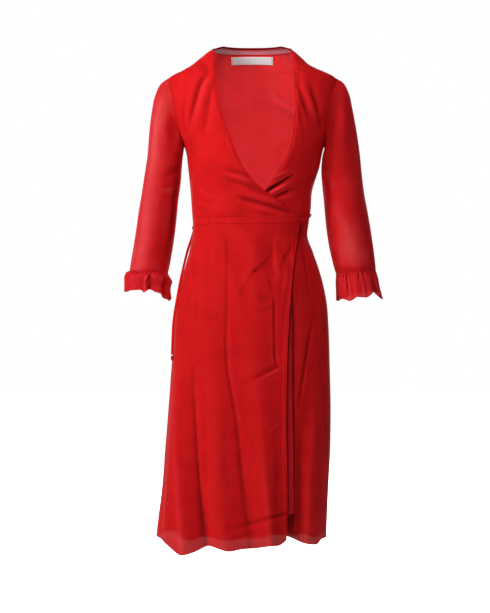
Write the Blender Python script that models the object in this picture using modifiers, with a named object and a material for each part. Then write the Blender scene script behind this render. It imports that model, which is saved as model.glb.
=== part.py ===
"""Long-sleeved wrap dress, filled out as if worn, with nobody in it.

The wearer's right front laps over the left one. Each piece that is cut and sewn is its own
closed solid: a cloth wall about 1 mm thick, with a narrow gap along every seam.

Frame: X runs to the wearer's left, Y to the wearer's back, Z up. The origin lies between the
shoulders, where the wearer holds the dress. Lengths below are millimetres, and MM turns them
into metres. An angle round the body is in degrees: 0 is the wearer's left side, -90 the
centre front, 90 the centre back, and 180 or -180 the wearer's right side.
"""

import math
from collections import namedtuple

import bmesh
import bpy
import numpy as np
from mathutils import Vector

for old in list(bpy.data.objects):
    bpy.data.objects.remove(old, do_unlink=True)

MM = 0.001
WALL = 1.0
SEAM_GAP = 0.4
SECTION_POWER = 2.2  # 2 is an ellipse, more is boxier

# --- Heights, all measured from the shoulder line ---
NECK_SEAM = 46
BAND_TOP = 62
BAND_TOP_AT_SHOULDER = 52.5
BINDING_HEIGHT = 5
BINDING_HEIGHT_AT_SHOULDER = 3.5
SHOULDER_POINT = -12
UNDERARM = -166
WAIST_SEAM = -324
WAISTBAND_FOOT = -338.5
HEM = -1020

# --- Layers: how far each outer face stands out from the body form ---
OVER_LIFT = 4.4
LIFT_STARTS = 15  # from the right side seam
LIFT_FULL = 95
LIFT_TOP = -120
LIFT_FOOT = -235
LAP_STARTS = -70  # X, where the over lap comes to lie on the under lap
LAP_FULL = -30
UNDER_SHOWS_FROM = 92
UNDER_SHOWS_FULL = 112
CALM_BY_SEAMS = 24  # no fold reaches nearer than this to a side or shoulder seam
LINING_DEPTH = -5.0
LINING_TOP_DEPTH = -1.6
LINING_FALL_TOP = -345
LINING_FALL_FOOT = -400
OVER_LINING_DROP = 2.1
FREE_TROUGH = -6.0
LAPPED_TROUGH = -0.3
LABEL_DEPTH = -1.9
LABEL_WALL = 0.6
LABEL_CURL = 1.5
BINDING_WALL = 2.0
BINDING_LIFT = 0.5
SLEEVE_STANDOFF = 0.6  # from the bodice to the sleeve, along the armhole

# --- Ties ---
TIE_WIDTH = 6.0
TIE_STANDOFF = TIE_WIDTH / 2 + 0.5

# --- Colours, as linear RGB ---
RED = (0.57, 0.014, 0.016)
SHEER_RED = (0.72, 0.045, 0.05)
LINING_RED = (0.45, 0.008, 0.01)
WHITE = (0.85, 0.84, 0.84)

Section = namedtuple("Section", "height right left front back")
BODY = (
    Section(66, 58, 64, 46, 58),
    Section(50, 84, 89, 54, 66),
    Section(40, 98, 101, 58, 69),
    Section(28, 114, 114, 63, 73),
    Section(13, 132, 131, 69, 78),
    Section(4, 147, 149, 73, 81),
    Section(-4, 164, 168, 75, 83),
    Section(-12, 178, 183, 78, 85),
    Section(-26, 182, 187, 84, 88.5),
    Section(-46, 182.5, 187.5, 92, 92),
    Section(-80, 177, 182, 106, 96),
    Section(-115, 168, 175, 117, 99),
    Section(-150, 154, 166, 123, 100),
    Section(-166, 146, 160, 125, 100),
    Section(-211, 138, 150, 122, 98),
    Section(-264, 133, 134, 106, 93),
    Section(-304, 130, 131, 96, 88),
    Section(-332, 128, 127, 92, 86),
    Section(-361, 129.5, 124, 93, 89),
    Section(-396, 136, 136, 97, 97),
    Section(-436, 147, 150, 102, 107),
    Section(-490, 160.5, 163.5, 107, 116),
    Section(-520, 166, 168, 109, 119),
    Section(-550, 168.5, 170, 111, 121),
    Section(-600, 171, 172, 114, 123),
    Section(-645, 174.5, 173, 116, 124),
    Section(-733, 181, 175, 121, 127),
    Section(-821, 188, 174, 125, 130),
    Section(-909, 195, 170, 129, 133),
    Section(-1020, 208, 165, 134, 137),
    Section(-1060, 210, 164, 135, 138),
)

# The angle that each armhole's front and back edges reach in from the side line.
Armhole = namedtuple("Armhole", "height front back")
ARMHOLE = (
    Armhole(-12, 0, 0),
    Armhole(-27, 12, 13),
    Armhole(-48, 19, 19),
    Armhole(-72, 22, 21),
    Armhole(-99, 21, 20),
    Armhole(-127, 16, 16),
    Armhole(-150, 9, 10),
    Armhole(-166, 0, 0),
)

# Free edges of the fronts and laps, as they run down: X at each height.
Edge = namedtuple("Edge", "height x")
OVER_NECKLINE = (
    Edge(46, -81.3),
    Edge(32, -80.7),
    Edge(-4, -78.5),
    Edge(-36, -75.7),
    Edge(-88, -66.8),
    Edge(-123, -55.3),
    Edge(-172, -38),
    Edge(-198, -26.6),
    Edge(-229, -9.6),
    Edge(-248, 7.5),
    Edge(-268, 30.3),
    Edge(-289, 60),
    Edge(-306, 80),
    Edge(-324, 100.5),
)
UNDER_NECKLINE = (
    Edge(46, 88),
    Edge(27, 92),
    Edge(-27, 94),
    Edge(-87, 96),
    Edge(-128, 92),
    Edge(-154, 90),
    Edge(-183, 81.6),
    Edge(-203, 73),
    Edge(-225, 59),
    Edge(-248, 44.6),
    Edge(-268, 32),
    Edge(-295, 15),
    Edge(-324, 0),
)
OVER_LAP_EDGE = (
    Edge(-324, 100.5),
    Edge(-338, 100),
    Edge(-408, 91.4),
    Edge(-459, 86),
    Edge(-519, 81),
    Edge(-609, 76),
    Edge(-758, 73),
    Edge(-956, 75),
    Edge(-1020, 73),
)
OVER_LINING_EDGE = (
    Edge(-338, 92),
    Edge(-480, 80),
    Edge(-519, 88),
    Edge(-707, 88),
    Edge(-821, 90),
    Edge(-980, 89),
)
UNDER_LAP_EDGE = (
    Edge(-324, 0),
    Edge(-358, 1),
    Edge(-679, 3),
    Edge(-1020, -6),
)

# Hem heights, from the wearer's right side to the left.
Hem = namedtuple("Hem", "x height")
OVER_HEM = (
    Hem(-208, -1016),
    Hem(-187, -1018),
    Hem(-160, -1031),
    Hem(-133, -1045),
    Hem(-118, -1040),
    Hem(-90, -1025),
    Hem(-66, -1030),
    Hem(-48, -1035),
    Hem(-21, -1031),
    Hem(6, -1029),
    Hem(36, -1024),
    Hem(63, -1021),
    Hem(76, -1011),
)
UNDER_HEM = (
    Hem(-8, -1012),
    Hem(79, -1006),
    Hem(96, -1014),
    Hem(111, -1022),
    Hem(127, -1026),
    Hem(140, -1026),
    Hem(147, -1020),
    Hem(165, -1019),
)
BACK_HEM = (
    Hem(-208, -1016),
    Hem(-150, -1020),
    Hem(-95, -1013),
    Hem(-40, -1019),
    Hem(20, -1012),
    Hem(80, -1018),
    Hem(130, -1013),
    Hem(165, -1019),
)
OVER_LINING_HEM = (
    Hem(-208, -996),
    Hem(-110, -1002),
    Hem(-66, -992),
    Hem(-7, -977),
    Hem(72, -962),
    Hem(90, -958),
)
UNDER_LINING_HEM = (
    Hem(-8, -975),
    Hem(90, -984),
    Hem(165, -990),
)
BACK_LINING_HEM = (
    Hem(-208, -996),
    Hem(0, -982),
    Hem(165, -990),
)

# Soft folds: a route down or across the cloth, with the depth at each point (a ridge is
# positive, a trough negative), and half the fold's width.
Fold = namedtuple("Fold", "side width route")
Point = namedtuple("Point", "x height depth")
OVER_BODICE_FOLDS = (
    # From the shoulder seam down towards the bust.
    Fold(-1, 10, (Point(-98, 30, -3), Point(-111, -14, -7), Point(-120, -60, -7), Point(-130, -115, 0))),
    Fold(-1, 10, (Point(-112, 5, 3), Point(-123, -40, 6), Point(-134, -95, 6), Point(-139, -145, 0))),
    Fold(-1, 9, (Point(-89, -5, -2), Point(-91, -50, -5), Point(-96, -105, -4), Point(-101, -145, 0))),
    Fold(-1, 9, (Point(-92, 20, 2), Point(-101, -35, 4), Point(-107, -80, 3), Point(-114, -130, 0))),
    # Drawn across to the waist corner.
    Fold(-1, 11, (Point(-75, -228, 0), Point(-13, -256, -2), Point(30, -272, -1))),
    Fold(-1, 10, (Point(-50, -252, 0), Point(0, -272, 4), Point(50, -296, 3), Point(85, -316, 0))),
    Fold(-1, 8, (Point(-34, -278, 0), Point(8, -290, -3), Point(40, -302, -2), Point(77, -315, 0))),
)
UNDER_BODICE_FOLDS = (
    Fold(-1, 10, (Point(101, -14, -4), Point(109, -48, -7), Point(119, -82, -6), Point(133, -135, 0))),
    Fold(-1, 9, (Point(93, 20, 2), Point(98, -50, 5), Point(105, -110, 4), Point(111, -165, 0))),
    Fold(-1, 9, (Point(113, 8, 2), Point(124, -40, 5), Point(135, -85, 5), Point(146, -135, 0))),
    Fold(-1, 8, (Point(126, -5, -1), Point(138, -40, -4), Point(150, -85, -4), Point(155, -125, 0))),
    # The hollow and the fold under it, beside the point of the neckline.
    Fold(-1, 9, (Point(30, -272, -8), Point(62, -251, -9), Point(90, -234, 0))),
    Fold(-1, 8, (Point(58, -240, 3), Point(86, -224, 2), Point(105, -212, 0))),
    Fold(-1, 8, (Point(56, -281, -3), Point(76, -271, -4), Point(98, -257, 0))),
)
BACK_BODICE_FOLDS = (
    Fold(1, 10, (Point(28, -5, 0), Point(60, -48, 3), Point(100, -100, 0))),
    Fold(1, 12, (Point(-70, -200, 0), Point(-50, -270, -3), Point(-46, -318, 0))),
    Fold(1, 12, (Point(62, -190, 0), Point(48, -265, -3), Point(42, -318, 0))),
)
OVER_SKIRT_FOLDS = (
    Fold(-1, 17, (Point(-44, -345, 0), Point(-49, -450, -3), Point(-44, -658, -3), Point(-20, -830, 0))),
    Fold(-1, 22, (Point(-16, -800, 0), Point(-11, -930, -3), Point(-8, -1040, -4))),
    Fold(-1, 18, (Point(-78, -480, 0), Point(-80, -700, 4), Point(-68, -900, 6), Point(-52, -1040, 7))),
    Fold(-1, 14, (Point(-124, -640, 0), Point(-117, -759, 3), Point(-101, -908, 7), Point(-92, -1040, 6))),
    Fold(-1, 15, (Point(-146, -660, 0), Point(-140, -761, -3), Point(-124, -910, -4), Point(-113, -1040, -4))),
    Fold(-1, 14, (Point(-159, -640, 0), Point(-157, -761, 3), Point(-145, -910, 7), Point(-136, -1046, 8))),
    Fold(-1, 13, (Point(-183, -760, 0), Point(-180, -900, 4), Point(-178, -1040, 5))),
    Fold(-1, 17, (Point(12, -680, 0), Point(24, -790, 3), Point(35, -900, 5), Point(38, -1040, 5))),
    Fold(-1, 13, (Point(48, -345, 0), Point(46, -430, 2), Point(52, -560, 2), Point(56, -660, 0))),
    Fold(-1, 14, (Point(-40, -712, 0), Point(0, -690, 4), Point(62, -652, 0))),
)
UNDER_SKIRT_FOLDS = (
    Fold(-1, 12, (Point(130, -520, 0), Point(124, -629, -3), Point(108, -714, 0))),
    Fold(-1, 12, (Point(112, -690, 0), Point(105, -780, 4), Point(101, -900, 4), Point(98, -1040, 2))),
    Fold(-1, 14, (Point(140, -700, 0), Point(134, -860, -3), Point(118, -1040, -3))),
    Fold(-1, 14, (Point(152, -560, 0), Point(150, -760, 5), Point(142, -1040, 8))),
)
BACK_SKIRT_FOLDS = (
    Fold(1, 18, (Point(-150, -560, 0), Point(-152, -800, 5), Point(-158, -1040, 9))),
    Fold(1, 18, (Point(-108, -480, 0), Point(-112, -800, -4), Point(-118, -1040, -4))),
    Fold(1, 18, (Point(-62, -400, 0), Point(-66, -700, 4), Point(-72, -1040, 9))),
    Fold(1, 18, (Point(-20, -520, 0), Point(-20, -800, -3), Point(-22, -1040, -4))),
    Fold(1, 20, (Point(26, -440, 0), Point(28, -760, 5), Point(30, -1040, 8))),
    Fold(1, 17, (Point(70, -560, 0), Point(74, -800, -3), Point(76, -1040, -4))),
    Fold(1, 18, (Point(108, -420, 0), Point(116, -700, 5), Point(120, -1040, 8))),
)

# Sleeves: X and height of each ring's inner and outer points, and how far it reaches
# forward and back. The first ring is the armhole itself.
Ring = namedtuple("Ring", "inner_x inner_height outer_x outer_height forward backward")
RIGHT_SLEEVE = (
    Ring(-146, -166, -179, -12, 38, 34),
    Ring(-147.5, -168, -197.5, -25, 44, 42),
    Ring(-148, -171, -211, -51, 49, 48),
    Ring(-148.5, -176, -218.5, -89, 54, 52),
    Ring(-150, -187, -223.5, -134, 56, 53),
    Ring(-152, -212, -227, -178, 56, 52),
    Ring(-154.5, -245, -233.5, -222, 56, 50),
    Ring(-159.5, -281, -240, -266, 56, 47),
    Ring(-163.5, -318, -247, -310, 55, 44),
    Ring(-168.5, -358, -253, -354, 54, 40),
    Ring(-174, -396, -259.5, -392, 53, 36),
    Ring(-179, -425, -264.5, -420, 52, 33),
    Ring(-182.5, -442, -267, -437, 51, 31),
)
LEFT_SLEEVE = (
    Ring(160, -166, 184, -12, 38, 34),
    Ring(161.6, -168, 203, -24, 44, 42),
    Ring(161, -172, 215, -46, 49, 48),
    Ring(159, -179, 223, -80, 54, 52),
    Ring(156.3, -193, 231, -126, 56, 53),
    Ring(154.6, -217, 238, -176, 56, 52),
    Ring(156.4, -246, 243, -222, 56, 50),
    Ring(160.2, -283, 249, -268, 56, 47),
    Ring(163.6, -320, 257, -312, 55, 44),
    Ring(168, -360, 264, -354, 54, 40),
    Ring(174.6, -398, 270, -394, 53, 36),
    Ring(182, -428, 273, -422, 52, 33),
    Ring(187, -444, 274.5, -437, 51, 31),
)

# Cuff ruffles: how far down each ring is, as a share of the whole drop, how far it stands
# out on the side away from the body and on the side next to it, and how deep its waves are.
Flare = namedtuple("Flare", "share away near wave")
RIGHT_RUFFLE = (
    Flare(0, 0, 0, 0.3),
    Flare(0.14, 6, 2, 1.5),
    Flare(0.55, 6.5, 3, 2.8),
    Flare(1, 4.5, 4, 3.8),
)
LEFT_RUFFLE = (
    Flare(0, 0, 0, 0.3),
    Flare(0.14, 2, 1, 1.3),
    Flare(0.55, 5, 1.5, 2.4),
    Flare(1, 9, 2, 3.6),
)
Drop = namedtuple("Drop", "away near")
RIGHT_DROP = Drop(49, 58)
LEFT_DROP = Drop(62, 55)
RUFFLE_WAVES = 18
RUFFLE_POINTS_PER_WAVE = 4
# Slow changes round a ruffle: how often, how strong, and where round the wrist they start.
Swell = namedtuple("Swell", "times strength start")
WAVE_SWELLS = (Swell(3, 0.35, 1), Swell(5, 0.2, 1))
HEM_SWELLS = (Swell(5, 1, 0.7), Swell(2, 0.6, 2))
HEM_UNEVENNESS = 0.05
SWELL_IN_WAVE = 0.5

# The waist tie's route: angle round the body, height, and distance from the body form.
Wind = namedtuple("Wind", "angle height standoff")
TIE_MEETS_KNOT = 154.7
WAIST_TIE = (
    Wind(-38.9, -328, 4.4),
    Wind(-30, -325, 5.4),
    Wind(-18, -320, 4.6),
    Wind(-4, -315, TIE_STANDOFF),
    Wind(30, -317, TIE_STANDOFF),
    Wind(70, -322, TIE_STANDOFF),
    Wind(110, -325, TIE_STANDOFF),
    Wind(135, -331, TIE_STANDOFF),
    Wind(147, -336, TIE_STANDOFF),
    Wind(TIE_MEETS_KNOT, -341, TIE_STANDOFF + 2.6),
)
WAIST_TIE_STOPS = 31
TIE_KNOT_PLACE = (-126, 38, -342)
TIE_KNOT_RADII = (5.5, 7, 6.5)
TIE_END_LONG = (
    (-127, 36, -348.8),
    (-130.5, 28, -362),
    (-139.2, 8, -391),
    (-146.3, -11, -422),
    (-154.3, -25, -460),
    (-161.4, -33, -500),
    (-169, -36, -550),
    (-171, -37, -590),
    (-172, -38, -621),
)
TIE_END_KNOT_RADII = (3.6, 3.6, 6.5)
TIE_END_SHORT = (
    (-124.8, 42, -348.4),
    (-126.6, 45.5, -362),
    (-129.5, 47, -376),
    (-133, 48, -392),
)
CORD_SPACING = 15.0

dress = bpy.data.collections.new("wrap_dress")
bpy.context.scene.collection.children.link(dress)


def column(table, key, value, wanted):
    """One named column of a table, read smoothly at any value of its key column."""
    rows = sorted(table, key=lambda row: getattr(row, key))
    at = np.array([getattr(row, key) for row in rows], float)
    known = np.array([getattr(row, wanted) for row in rows], float)
    slope = np.gradient(known, at)
    value = np.clip(value, at[0], at[-1])
    low = np.clip(np.searchsorted(at, value) - 1, 0, len(at) - 2)
    span = at[low + 1] - at[low]
    t = (value - at[low]) / span
    start = (2 * t**3 - 3 * t**2 + 1) * known[low] + (t**3 - 2 * t**2 + t) * span * slope[low]
    end = (3 * t**2 - 2 * t**3) * known[low + 1] + (t**3 - t**2) * span * slope[low + 1]
    return start + end


def smooth_step(low, high, value):
    t = np.clip((value - low) / (high - low), 0, 1)
    return t * t * (3 - 2 * t)


def body_point(angle, height):
    """The body form's surface."""
    angle, height = np.broadcast_arrays(np.asarray(angle, float), np.asarray(height, float))
    across = np.cos(np.radians(angle))
    along = np.sin(np.radians(angle))
    right = column(BODY, "height", height, "right")
    left = column(BODY, "height", height, "left")
    front = column(BODY, "height", height, "front")
    back = column(BODY, "height", height, "back")
    power = 2 / SECTION_POWER
    x = np.where(across < 0, -right, left) * np.abs(across) ** power
    y = np.where(along < 0, -front, back) * np.abs(along) ** power
    return np.stack([x, y, height], axis=-1)


def body_normal(angle, height):
    """The unit vector that points out of the body form."""
    angle, height = np.broadcast_arrays(np.asarray(angle, float), np.asarray(height, float))
    around = body_point(angle + 1, height) - body_point(angle - 1, height)
    upward = body_point(angle, height + 2) - body_point(angle, height - 2)
    normal = np.cross(around, upward)
    return normal / np.linalg.norm(normal, axis=-1, keepdims=True)


def angle_at(x, height, side=-1):
    """The angle where the form reaches X: side -1 is its front and 1 its back."""
    x = np.asarray(x, float)
    right = column(BODY, "height", height, "right")
    left = column(BODY, "height", height, "left")
    reach = np.clip(np.abs(x) / np.where(x < 0, right, left), 0, 1)
    return side * np.degrees(np.arccos(np.sign(x) * reach ** (SECTION_POWER / 2)))


def arc_length(angle, height):
    """Distance round the form from its left side, near enough to lay folds by."""
    across = column(BODY, "height", height, "right") + column(BODY, "height", height, "left")
    depth = column(BODY, "height", height, "front") + column(BODY, "height", height, "back")
    return np.radians(angle) * (across + depth) / 4


def fold_depth(angle, height, folds):
    """How far the folds raise or sink the cloth at each point."""
    around = arc_length(angle, height)
    total = np.zeros_like(around)
    for fold in folds:
        stops = [
            (float(arc_length(angle_at(p.x, p.height, fold.side), p.height)), p.height, p.depth)
            for p in fold.route
        ]
        nearest = np.full(around.shape, np.inf)
        depth = np.zeros_like(around)
        for (s0, h0, d0), (s1, h1, d1) in zip(stops, stops[1:]):
            length2 = (s1 - s0) ** 2 + (h1 - h0) ** 2
            t = np.clip(((around - s0) * (s1 - s0) + (height - h0) * (h1 - h0)) / length2, 0, 1)
            away = np.hypot(around - s0 - t * (s1 - s0), height - h0 - t * (h1 - h0))
            closer = away < nearest
            nearest = np.where(closer, away, nearest)
            depth = np.where(closer, d0 + t * (d1 - d0), depth)
        total += depth * np.exp(-((nearest / fold.width) ** 2))
    return total


def over_lift(angle, height):
    """The over layer's rise: none at the right side seam, full where it laps the under layer."""
    from_side = arc_length(angle, height) - arc_length(-180, height)
    down = smooth_step(LIFT_TOP, LIFT_FOOT, height)
    return OVER_LIFT * smooth_step(LIFT_STARTS, LIFT_FULL, from_side) * down


def away_from_sides(angle, height):
    """0 on the side and shoulder seams, 1 a little way in from them."""
    inward = np.minimum(np.abs(angle), 180 - np.abs(angle))
    return smooth_step(0, CALM_BY_SEAMS, arc_length(inward, height))


def cloth_grid(angles, heights, rise=0.0):
    """Points of a piece that lies on the body form, its rows running down."""
    rise = np.broadcast_to(rise, angles.shape)
    return body_point(angles, heights) + body_normal(angles, heights) * rise[..., None]


def cloth_material(name, colour, roughness, alpha=1.0):
    material = bpy.data.materials.new(name)
    material.use_nodes = True
    shader = material.node_tree.nodes["Principled BSDF"]
    shader.inputs["Base Color"].default_value = (*colour, 1)
    shader.inputs["Roughness"].default_value = roughness
    shader.inputs["Metallic"].default_value = 0
    shader.inputs["Alpha"].default_value = alpha
    return material


def add_object(name, data, material):
    thing = bpy.data.objects.new(name, data)
    thing.data.materials.append(material)
    dress.objects.link(thing)
    return thing


def shell(name, grid, material, wall=WALL, closed=False):
    """A sheet through the grid's points, given a wall on its inner side by Solidify."""
    rows, columns = grid.shape[:2]
    mesh = bmesh.new()
    verts = [[mesh.verts.new(Vector(point) * MM) for point in row] for row in grid]
    last = columns if closed else columns - 1
    for upper, lower in zip(verts, verts[1:]):
        for i in range(last):
            j = (i + 1) % columns
            mesh.faces.new((upper[i], lower[i], lower[j], upper[j]))
    middles = grid.mean(axis=1)
    if not closed:
        middles[:, :2] = 0
    outwards = 0.0
    mesh.normal_update()
    for index, face in enumerate(mesh.faces):
        middle = Vector(middles[index // last]) * MM
        outwards += face.normal.dot(face.calc_center_median() - middle)
    if outwards < 0:
        bmesh.ops.reverse_faces(mesh, faces=mesh.faces[:])
    data = bpy.data.meshes.new(name)
    mesh.to_mesh(data)
    mesh.free()
    data.shade_smooth()
    thing = add_object(name, data, material)
    thicken = thing.modifiers.new("wall", "SOLIDIFY")
    thicken.thickness = wall * MM
    thicken.offset = -1
    return thing


def cord(name, route, material, width=TIE_WIDTH):
    """A round tie along a smooth curve through the route's own points."""
    route = np.array(route, float)
    steps = np.linalg.norm(np.diff(route, axis=0), axis=1)
    along = np.concatenate([[0], np.cumsum(steps)])
    Stop = namedtuple("Stop", "s x y z")
    stops = [Stop(s, *point) for s, point in zip(along, route)]
    count = max(4, math.ceil(along[-1] / CORD_SPACING) + 1)
    places = np.linspace(0, along[-1], count)
    points = np.stack([column(stops, "s", places, axis) for axis in "xyz"], axis=1)
    curve = bpy.data.curves.new(name, "CURVE")
    curve.dimensions = "3D"
    curve.bevel_depth = width / 2 * MM
    curve.bevel_resolution = 2
    curve.use_fill_caps = True
    spline = curve.splines.new("POLY")
    spline.points.add(count - 1)
    for spot, point in zip(spline.points, points):
        spot.co = (*(point * MM), 1)
    return add_object(name, curve, material)


def knot(name, place, radii, material):
    mesh = bmesh.new()
    bmesh.ops.create_uvsphere(mesh, u_segments=10, v_segments=6, radius=MM)
    bmesh.ops.scale(mesh, vec=radii, verts=mesh.verts)
    data = bpy.data.meshes.new(name)
    mesh.to_mesh(data)
    mesh.free()
    data.shade_smooth()
    thing = add_object(name, data, material)
    thing.location = Vector(place) * MM
    return thing


def between(start, end, count):
    """Angles from start to end on each row, evenly spaced."""
    return start[:, None] + (end - start)[:, None] * np.linspace(0, 1, count)[None, :]


georgette = cloth_material("red_georgette", RED, 0.75)
sheer = cloth_material("sheer_red_georgette", SHEER_RED, 0.75, 0.75)
lining_cloth = cloth_material("red_lining", LINING_RED, 0.6)
satin = cloth_material("white_satin", WHITE, 0.45)

# --- Bodice ---
SLEEVE_SIDES = 20
ARMHOLE_STEPS = SLEEVE_SIDES // 2
armhole_turns = np.cos(np.pi * np.arange(ARMHOLE_STEPS + 1) / ARMHOLE_STEPS)
armhole_heights = (SHOULDER_POINT + UNDERARM) / 2 + (SHOULDER_POINT - UNDERARM) / 2 * armhole_turns
shoulder_heights = np.linspace(NECK_SEAM, SHOULDER_POINT, 8)[:-1]
waist_heights = np.linspace(UNDERARM, WAIST_SEAM + SEAM_GAP / 2, 8)[1:]
bodice_heights = np.concatenate([shoulder_heights, armhole_heights, waist_heights])


def seam_angle(height, gap=SEAM_GAP / 2):
    """The small angle that half a seam's gap takes up at the side of the form."""
    power = 2 / SECTION_POWER
    depth = column(BODY, "height", height, "front")
    return np.degrees(np.arcsin((gap / depth) ** (1 / power)))


def armhole_angle(height, edge):
    """How far the armhole's edge lies in from the side line, or the seam's half gap."""
    inside = column(ARMHOLE, "height", height, edge)
    open_here = (height <= SHOULDER_POINT) & (height >= UNDERARM)
    return np.maximum(np.where(open_here, inside, 0), seam_angle(height))


BODICE_COLUMNS = 12
heights = bodice_heights[:, None] * np.ones(BODICE_COLUMNS)
over_edge = angle_at(column(OVER_NECKLINE, "height", bodice_heights, "x"), bodice_heights)
under_edge = angle_at(column(UNDER_NECKLINE, "height", bodice_heights, "x"), bodice_heights)
front_in = armhole_angle(bodice_heights, "front")
back_in = armhole_angle(bodice_heights, "back")

angles = between(-180 + front_in, over_edge, BODICE_COLUMNS)
folds = fold_depth(angles, heights, OVER_BODICE_FOLDS) * away_from_sides(angles, heights)
grid = cloth_grid(angles, heights, over_lift(angles, heights) + folds)
shell("bodice_front_right", grid, georgette)

angles = between(under_edge, -front_in, BODICE_COLUMNS)
folds = fold_depth(angles, heights, UNDER_BODICE_FOLDS) * away_from_sides(angles, heights)
shell("bodice_front_left", cloth_grid(angles, heights, folds), georgette)

BACK_COLUMNS = 17
angles = between(back_in, 180 - back_in, BACK_COLUMNS)
heights = bodice_heights[:, None] * np.ones(BACK_COLUMNS)
folds = fold_depth(angles, heights, BACK_BODICE_FOLDS)
shell("bodice_back", cloth_grid(angles, heights, folds), georgette)

# --- Back neck: the sheer strip, its rolled edge and the bare label ---
# The strip stands highest behind the neck and runs down to the shoulder seams.
top_row = np.full(1, BAND_TOP, float)
angles = between(seam_angle(top_row), 180 - seam_angle(top_row), BACK_COLUMNS)[[0, 0, 0]]
behind = smooth_step(0, 0.5, np.sin(np.radians(angles[0])))
edge_top = BAND_TOP_AT_SHOULDER + (BAND_TOP - BAND_TOP_AT_SHOULDER) * behind
roll = BINDING_HEIGHT_AT_SHOULDER + (BINDING_HEIGHT - BINDING_HEIGHT_AT_SHOULDER) * behind
heights = np.linspace(edge_top - roll - SEAM_GAP, np.full(BACK_COLUMNS, NECK_SEAM + SEAM_GAP), 3)
shell("back_neck_band", cloth_grid(angles, heights), sheer)
heights = np.linspace(edge_top, edge_top - roll, 3)
shell("back_neck_binding", cloth_grid(angles, heights, BINDING_LIFT), georgette, wall=BINDING_WALL)

LABEL_FOOT, LABEL_TOP = 24.4, 41.4
LABEL_RIGHT, LABEL_LEFT = -44, 50
LABEL_COLUMNS = 9
label_heights = np.linspace(LABEL_TOP, LABEL_FOOT, 3)
label_start = angle_at(LABEL_LEFT, label_heights, 1)
label_end = angle_at(LABEL_RIGHT, label_heights, 1)
angles = between(label_start, label_end, LABEL_COLUMNS)
bend = LABEL_CURL * np.sin(np.pi * np.linspace(0, 1, LABEL_COLUMNS))
heights = label_heights[:, None] + bend[None, :]
shell("neck_label", cloth_grid(angles, heights, LABEL_DEPTH), satin, wall=LABEL_WALL)

# --- Waistband ---
band_heights = np.linspace(WAIST_SEAM - SEAM_GAP / 2, WAISTBAND_FOOT + SEAM_GAP / 2, 3)
SKIRT_OVER_COLUMNS = 23
SKIRT_UNDER_COLUMNS = 16
SKIRT_BACK_COLUMNS = 19
OVER_LINING_COLUMNS = 15
UNDER_LINING_COLUMNS = 10
BACK_LINING_COLUMNS = 13
side_in = seam_angle(band_heights)
over_end = angle_at(column(OVER_LAP_EDGE, "height", band_heights, "x"), band_heights)
angles = between(-180 + side_in, over_end, SKIRT_OVER_COLUMNS)
heights = band_heights[:, None] * np.ones(SKIRT_OVER_COLUMNS)
shell("waistband_front_right", cloth_grid(angles, heights, over_lift(angles, heights)), georgette)
under_end = angle_at(column(UNDER_LAP_EDGE, "height", band_heights, "x"), band_heights)
angles = between(under_end, -side_in, SKIRT_UNDER_COLUMNS)
heights = band_heights[:, None] * np.ones(SKIRT_UNDER_COLUMNS)
shell("waistband_front_left", cloth_grid(angles, heights), georgette)
angles = between(side_in, 180 - side_in, SKIRT_BACK_COLUMNS)
heights = band_heights[:, None] * np.ones(SKIRT_BACK_COLUMNS)
shell("waistband_back", cloth_grid(angles, heights), georgette)

# --- Skirt and its lining ---
SKIRT_TOP = WAISTBAND_FOOT - SEAM_GAP / 2
# Rows lie closest where the waist curves. The lining shares them, so the layers run parallel.
waist_steps = (0, 0.03, 0.065, 0.1, 0.135, 0.17, 0.215, 0.27, 0.34)
skirt_steps = np.array(waist_steps + (0.42, 0.5, 0.58, 0.66, 0.74, 0.82, 0.91, 1))
lining_steps = np.array(waist_steps + (0.5, 0.66, 0.82, 1))
HEM_SHAPED_FROM = 0.75  # the share of the way down where rows begin to follow the hem


def skirt_grid(start, end, columns, steps, hem, side=-1):
    """Angles and heights from the waist to a hem; start and end give an angle per row."""
    rows = SKIRT_TOP + (HEM - SKIRT_TOP) * steps
    angles = between(start(rows), end(rows), columns)
    foot_x = body_point(angles[-1], HEM)[:, 0]
    foot = column(hem, "x", foot_x, "height")
    near_hem = smooth_step(HEM_SHAPED_FROM, 1, steps)
    heights = rows[:, None] + (foot - HEM)[None, :] * near_hem[:, None]
    return angles, heights


def lapped(angle, height):
    """1 where the over lap has the under lap behind it, 0 where it hangs alone."""
    return smooth_step(LAP_STARTS, LAP_FULL, body_point(angle, height)[..., 0])


def lap_edge(table):
    return lambda rows: angle_at(column(table, "height", rows, "x"), rows)


def right_side(rows):
    return -180 + seam_angle(rows)


def left_side(rows):
    return -seam_angle(rows)


angles, heights = skirt_grid(
    right_side, lap_edge(OVER_LAP_EDGE), SKIRT_OVER_COLUMNS, skirt_steps, OVER_HEM
)
deepest = FREE_TROUGH + (LAPPED_TROUGH - FREE_TROUGH) * lapped(angles, heights)
folds = np.maximum(fold_depth(angles, heights, OVER_SKIRT_FOLDS), deepest)
grid = cloth_grid(angles, heights, over_lift(angles, heights) + folds)
shell("skirt_front_right", grid, sheer)

angles, heights = skirt_grid(
    lap_edge(UNDER_LAP_EDGE), left_side, SKIRT_UNDER_COLUMNS, skirt_steps, UNDER_HEM
)
in_view = smooth_step(UNDER_SHOWS_FROM, UNDER_SHOWS_FULL, body_point(angles, heights)[..., 0])
folds = fold_depth(angles, heights, UNDER_SKIRT_FOLDS) * in_view
shell("skirt_front_left", cloth_grid(angles, heights, folds), sheer)

angles, heights = skirt_grid(
    lambda rows: seam_angle(rows),
    lambda rows: 180 - seam_angle(rows),
    SKIRT_BACK_COLUMNS,
    skirt_steps,
    BACK_HEM,
)
folds = fold_depth(angles, heights, BACK_SKIRT_FOLDS)
shell("skirt_back", cloth_grid(angles, heights, folds), sheer)


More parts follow.
